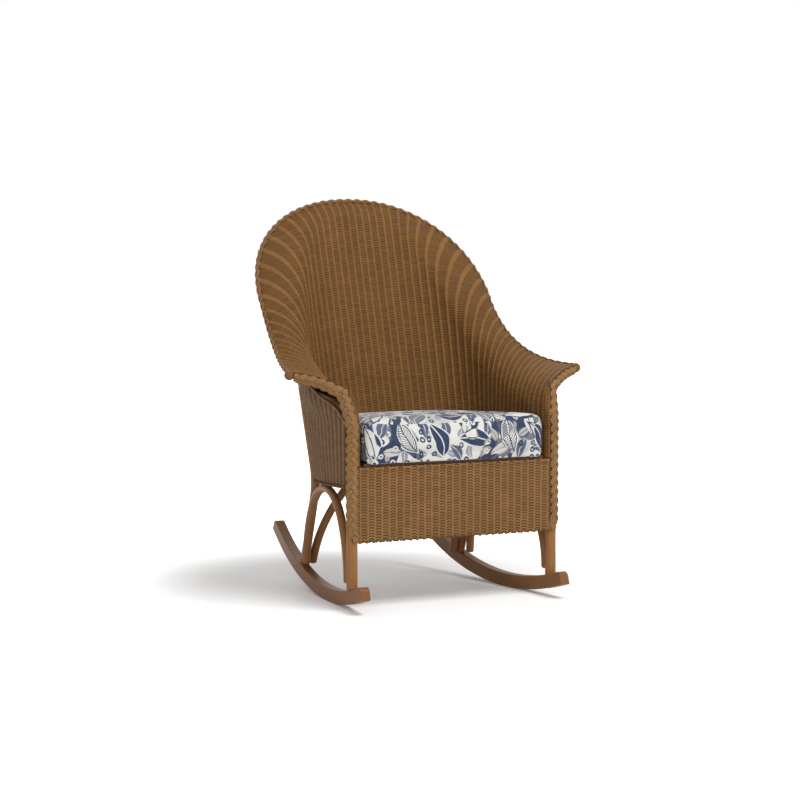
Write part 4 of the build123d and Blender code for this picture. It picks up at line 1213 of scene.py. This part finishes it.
def lay_print(piece, ring):
    """Places of the cloth in metres: across and along on top and below, and run and height on
    the boxing strip."""
    mesh = piece.data
    points = corners_of(mesh) / MM - SHIFT
    loops = values_of(mesh.loops, "vertex_index", 1, np.int32)[:, 0]
    sides = values_of(mesh.polygons, "loop_total", 1, np.int32)[:, 0]
    upright = np.abs(values_of(mesh.polygons, "normal", 3)[:, 2])
    level = np.repeat(upright, sides) > LEVEL_NORMAL
    plan = np.column_stack([ring, np.zeros(len(ring))])
    number, _ = nearest_on(plan, points * np.array([1, 1, 0]))
    runs = runs_of(np.concatenate([ring, ring[:1]]))
    run = runs[number]
    run = np.where(run > runs[-1] / 2, run - runs[-1], run)
    straight = np.abs(points[:, 0]) < ring[:, 0].max() - CUSHION_CORNER
    ahead = (points[:, 1] < CUSHION_FRONT + CUSHION_CORNER) & straight
    run = np.where(ahead, points[:, 0], run)
    boxing = np.column_stack([run, points[:, 2]])[loops]
    flat = np.column_stack([points[:, 0], points[:, 1] + CUSHION_TOP - CUSHION_FRONT])[loops]
    places = np.where(level[:, None], flat, boxing) * MM
    layer = mesh.uv_layers.get("surface") or mesh.uv_layers.new(name="surface")
    layer.data.foreach_set("uv", places.astype(np.float32).ravel())


def make_cushion():
    """Loose seat cushion: crowned on top, round-edged, flat where it lies on the deck."""
    ring, inward = cushion_ring()
    middle = ring * CUSHION_CLOSE + np.array([0, CUSHION_MIDDLE])
    rows = cushion_profile()
    plan = ring + inward * rows[:, None, :1]
    plan = plan + (middle - plan) * rows[:, None, 1:2]
    height = np.broadcast_to(rows[:, None, 2:], plan[..., :1].shape)
    upper = (height - DECK_TOP) / (CUSHION_TOP - DECK_TOP)
    height = height - upper * CUSHION_FALL * (plan[..., 1:] - CUSHION_FRONT)
    height = height + (1 - upper) * (lowest_cloth(plan[..., 1:]) - DECK_TOP)
    grid = np.concatenate([plan, height], 2)
    ends = [np.broadcast_to(grid[k].mean(0), grid[:1].shape) for k in (0, -1)]
    grid = np.concatenate([ends[0], grid, ends[1]])
    uv = np.zeros((grid.shape[0], grid.shape[1] + 1, 2))
    piece = closed_piece("printed_cushion", [(grid, uv)], printed_cloth)
    swell(piece)
    sew_seams(piece, ring, inward)
    lay_print(piece, ring)
    piece.data.materials.clear()
    piece.data.materials.append(printed_cloth)
    piece.data.polygons.foreach_set("use_smooth", np.ones(len(piece.data.polygons), bool))
    piece.data.update()
    finish_piece(piece, "cushion_print", "seat_cushion")


# ---------------------------------------------------------------- the build
make_bucket()
make_rim_plait()
for side in (1, -1):
    make_front_braid(side)
    make_wall_turn(side)
    make_tip_wrap(side)
    make_braid_core(side)
    make_side_weave(side)
make_apron()
make_skirt()
make_cushion()


def paint(material, *nodes):
    """Gives CAD nodes their finish."""
    for name in nodes:
        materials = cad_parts[name].data.materials
        materials.clear()
        materials.append(material)


for side in ("left_", "right_"):
    paint(upright_pole, side + "front_leg", side + "rear_post")
    paint(bent_pole, side + "side_arch")
    # runners and arm rails take the darker pole colour, as painted shade
    paint(shaded_level_pole, side + "runner", side + "arm_rail")
paint(bent_pole, "back_arch")
paint(cross_pole, "upper_back_rail", "seat_hoop")
# painted shade: the front seat rail is painted dark to read as shadow under the cushion
paint(painted_shade_core, "front_seat_rail")
# the deck takes its darker colour as painted shade
paint(shaded_deck_board, "seat_deck")
# painted shade: the rim rod is painted dark to read as shadow between the plait's bundles
paint(painted_shade_core, "rim_rod")
paint(screw_steel, "leg_screws")


# ---------------------------------------------------------------- stage, light and camera
# in metres where nothing else is said
FLOOR_HALF = 40.0
FLOOR_FADE = (0.5, 1.2)  # distances between which the floor comes to glow white
FLOOR_LIFT = 0.10  # share of that glow that it has nearer by
WORLD_LEVEL = 0.38  # strength of the surroundings as a light
LAMP_TARGET = (0.0, 0.0, 0.55)
LAMPS = {  # place, size, watts
    "key": ((0.9, -3.0, 4.4), 2.6, 188),
    "fill": ((-3.0, -3.4, 1.8), 3.0, 38),
    "rear": ((0.5, 3.5, 3.0), 2.5, 40),
}
CAMERA_PLACE = np.array([-2391.0, -4680.0, 868.0])  # in the drawn frame, in millimetres
CAMERA_YAW, CAMERA_PITCH = 26.42, 3.87  # degrees
CAMERA_LENS, CAMERA_SENSOR = 90.1, 36.0  # in millimetres
CAMERA_FAR = 200


def seen_directly(n):
    """1 for rays from the camera, mirror rays and rays through glass, and 0 for the rest."""
    path = n.new("ShaderNodeLightPath")
    total = n.add(path.outputs["Is Camera Ray"], path.outputs["Is Glossy Ray"])
    return n.add(total, path.outputs["Is Transmission Ray"], clamp=True)


def make_stage():
    """A wide pale floor that keeps the chair's shadow and turns pure white away from it."""
    mesh = bpy.data.meshes.new("floor")
    corners = [(x * FLOOR_HALF, y * FLOOR_HALF, 0) for x, y in ((-1, -1), (1, -1), (1, 1), (-1, 1))]
    mesh.from_pydata(corners, [], [(0, 1, 2, 3)])
    floor = add_object("floor", mesh)
    n = Nodes(bpy.data.materials.new("pale floor"))
    mesh.materials.append(n.finish(linear(252, 252, 252), 0.95, 0.0))
    parts = n.new("ShaderNodeSeparateXYZ")
    n.feed(parts.inputs[0], n.place())
    x, y = parts.outputs[0], parts.outputs[1]
    far = n.math("SQRT", n.add(n.math("POWER", x, 2.0), n.math("POWER", y, 2.0)))
    lifted = n.add(n.ramp(far, *FLOOR_FADE), FLOOR_LIFT, clamp=True)
    n.feed(n.shader.inputs["Emission Color"], (1, 1, 1, 1))
    n.feed(n.shader.inputs["Emission Strength"], n.mul(lifted, seen_directly(n)))
    floor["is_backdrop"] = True


def add_lamp(name, place, size, power):
    """Square soft lamp aimed at the chair's middle."""
    data = bpy.data.lights.new(name, "AREA")
    data.size = size
    data.energy = power
    lamp = add_object(name, data)
    x, y, z = np.array(LAMP_TARGET) - np.array(place)
    lamp.location = place
    lamp.rotation_euler = (math.atan2(math.hypot(x, y), -z), 0, math.atan2(y, x) - math.pi / 2)


def make_light():
    """Pale surroundings that light evenly and look white, and three soft lamps."""
    world = bpy.data.worlds.new("studio")
    n = Nodes(world, "Background")
    n.shader.inputs[0].default_value = (1, 1, 1, 1)
    n.feed(n.shader.inputs[1], n.scaled(seen_directly(n), 1 - WORLD_LEVEL, WORLD_LEVEL))
    bpy.context.scene.world = world
    for name, (place, size, power) in LAMPS.items():
        add_lamp(name, place, size, power)


def make_camera():
    """Camera ahead of the chair and to its right, above the seat and tilted down a little."""
    data = bpy.data.cameras.new("camera")
    data.lens = CAMERA_LENS
    data.sensor_width = CAMERA_SENSOR
    data.clip_end = CAMERA_FAR
    camera = add_object("camera", data)
    camera.location = to_frame(CAMERA_PLACE)
    camera.rotation_euler = (math.radians(90 - CAMERA_PITCH), 0, -math.radians(CAMERA_YAW))
    bpy.context.scene.camera = camera


make_stage()
make_light()
make_camera()
bpy.context.scene.view_settings.view_transform = "Standard"

low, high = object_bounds()
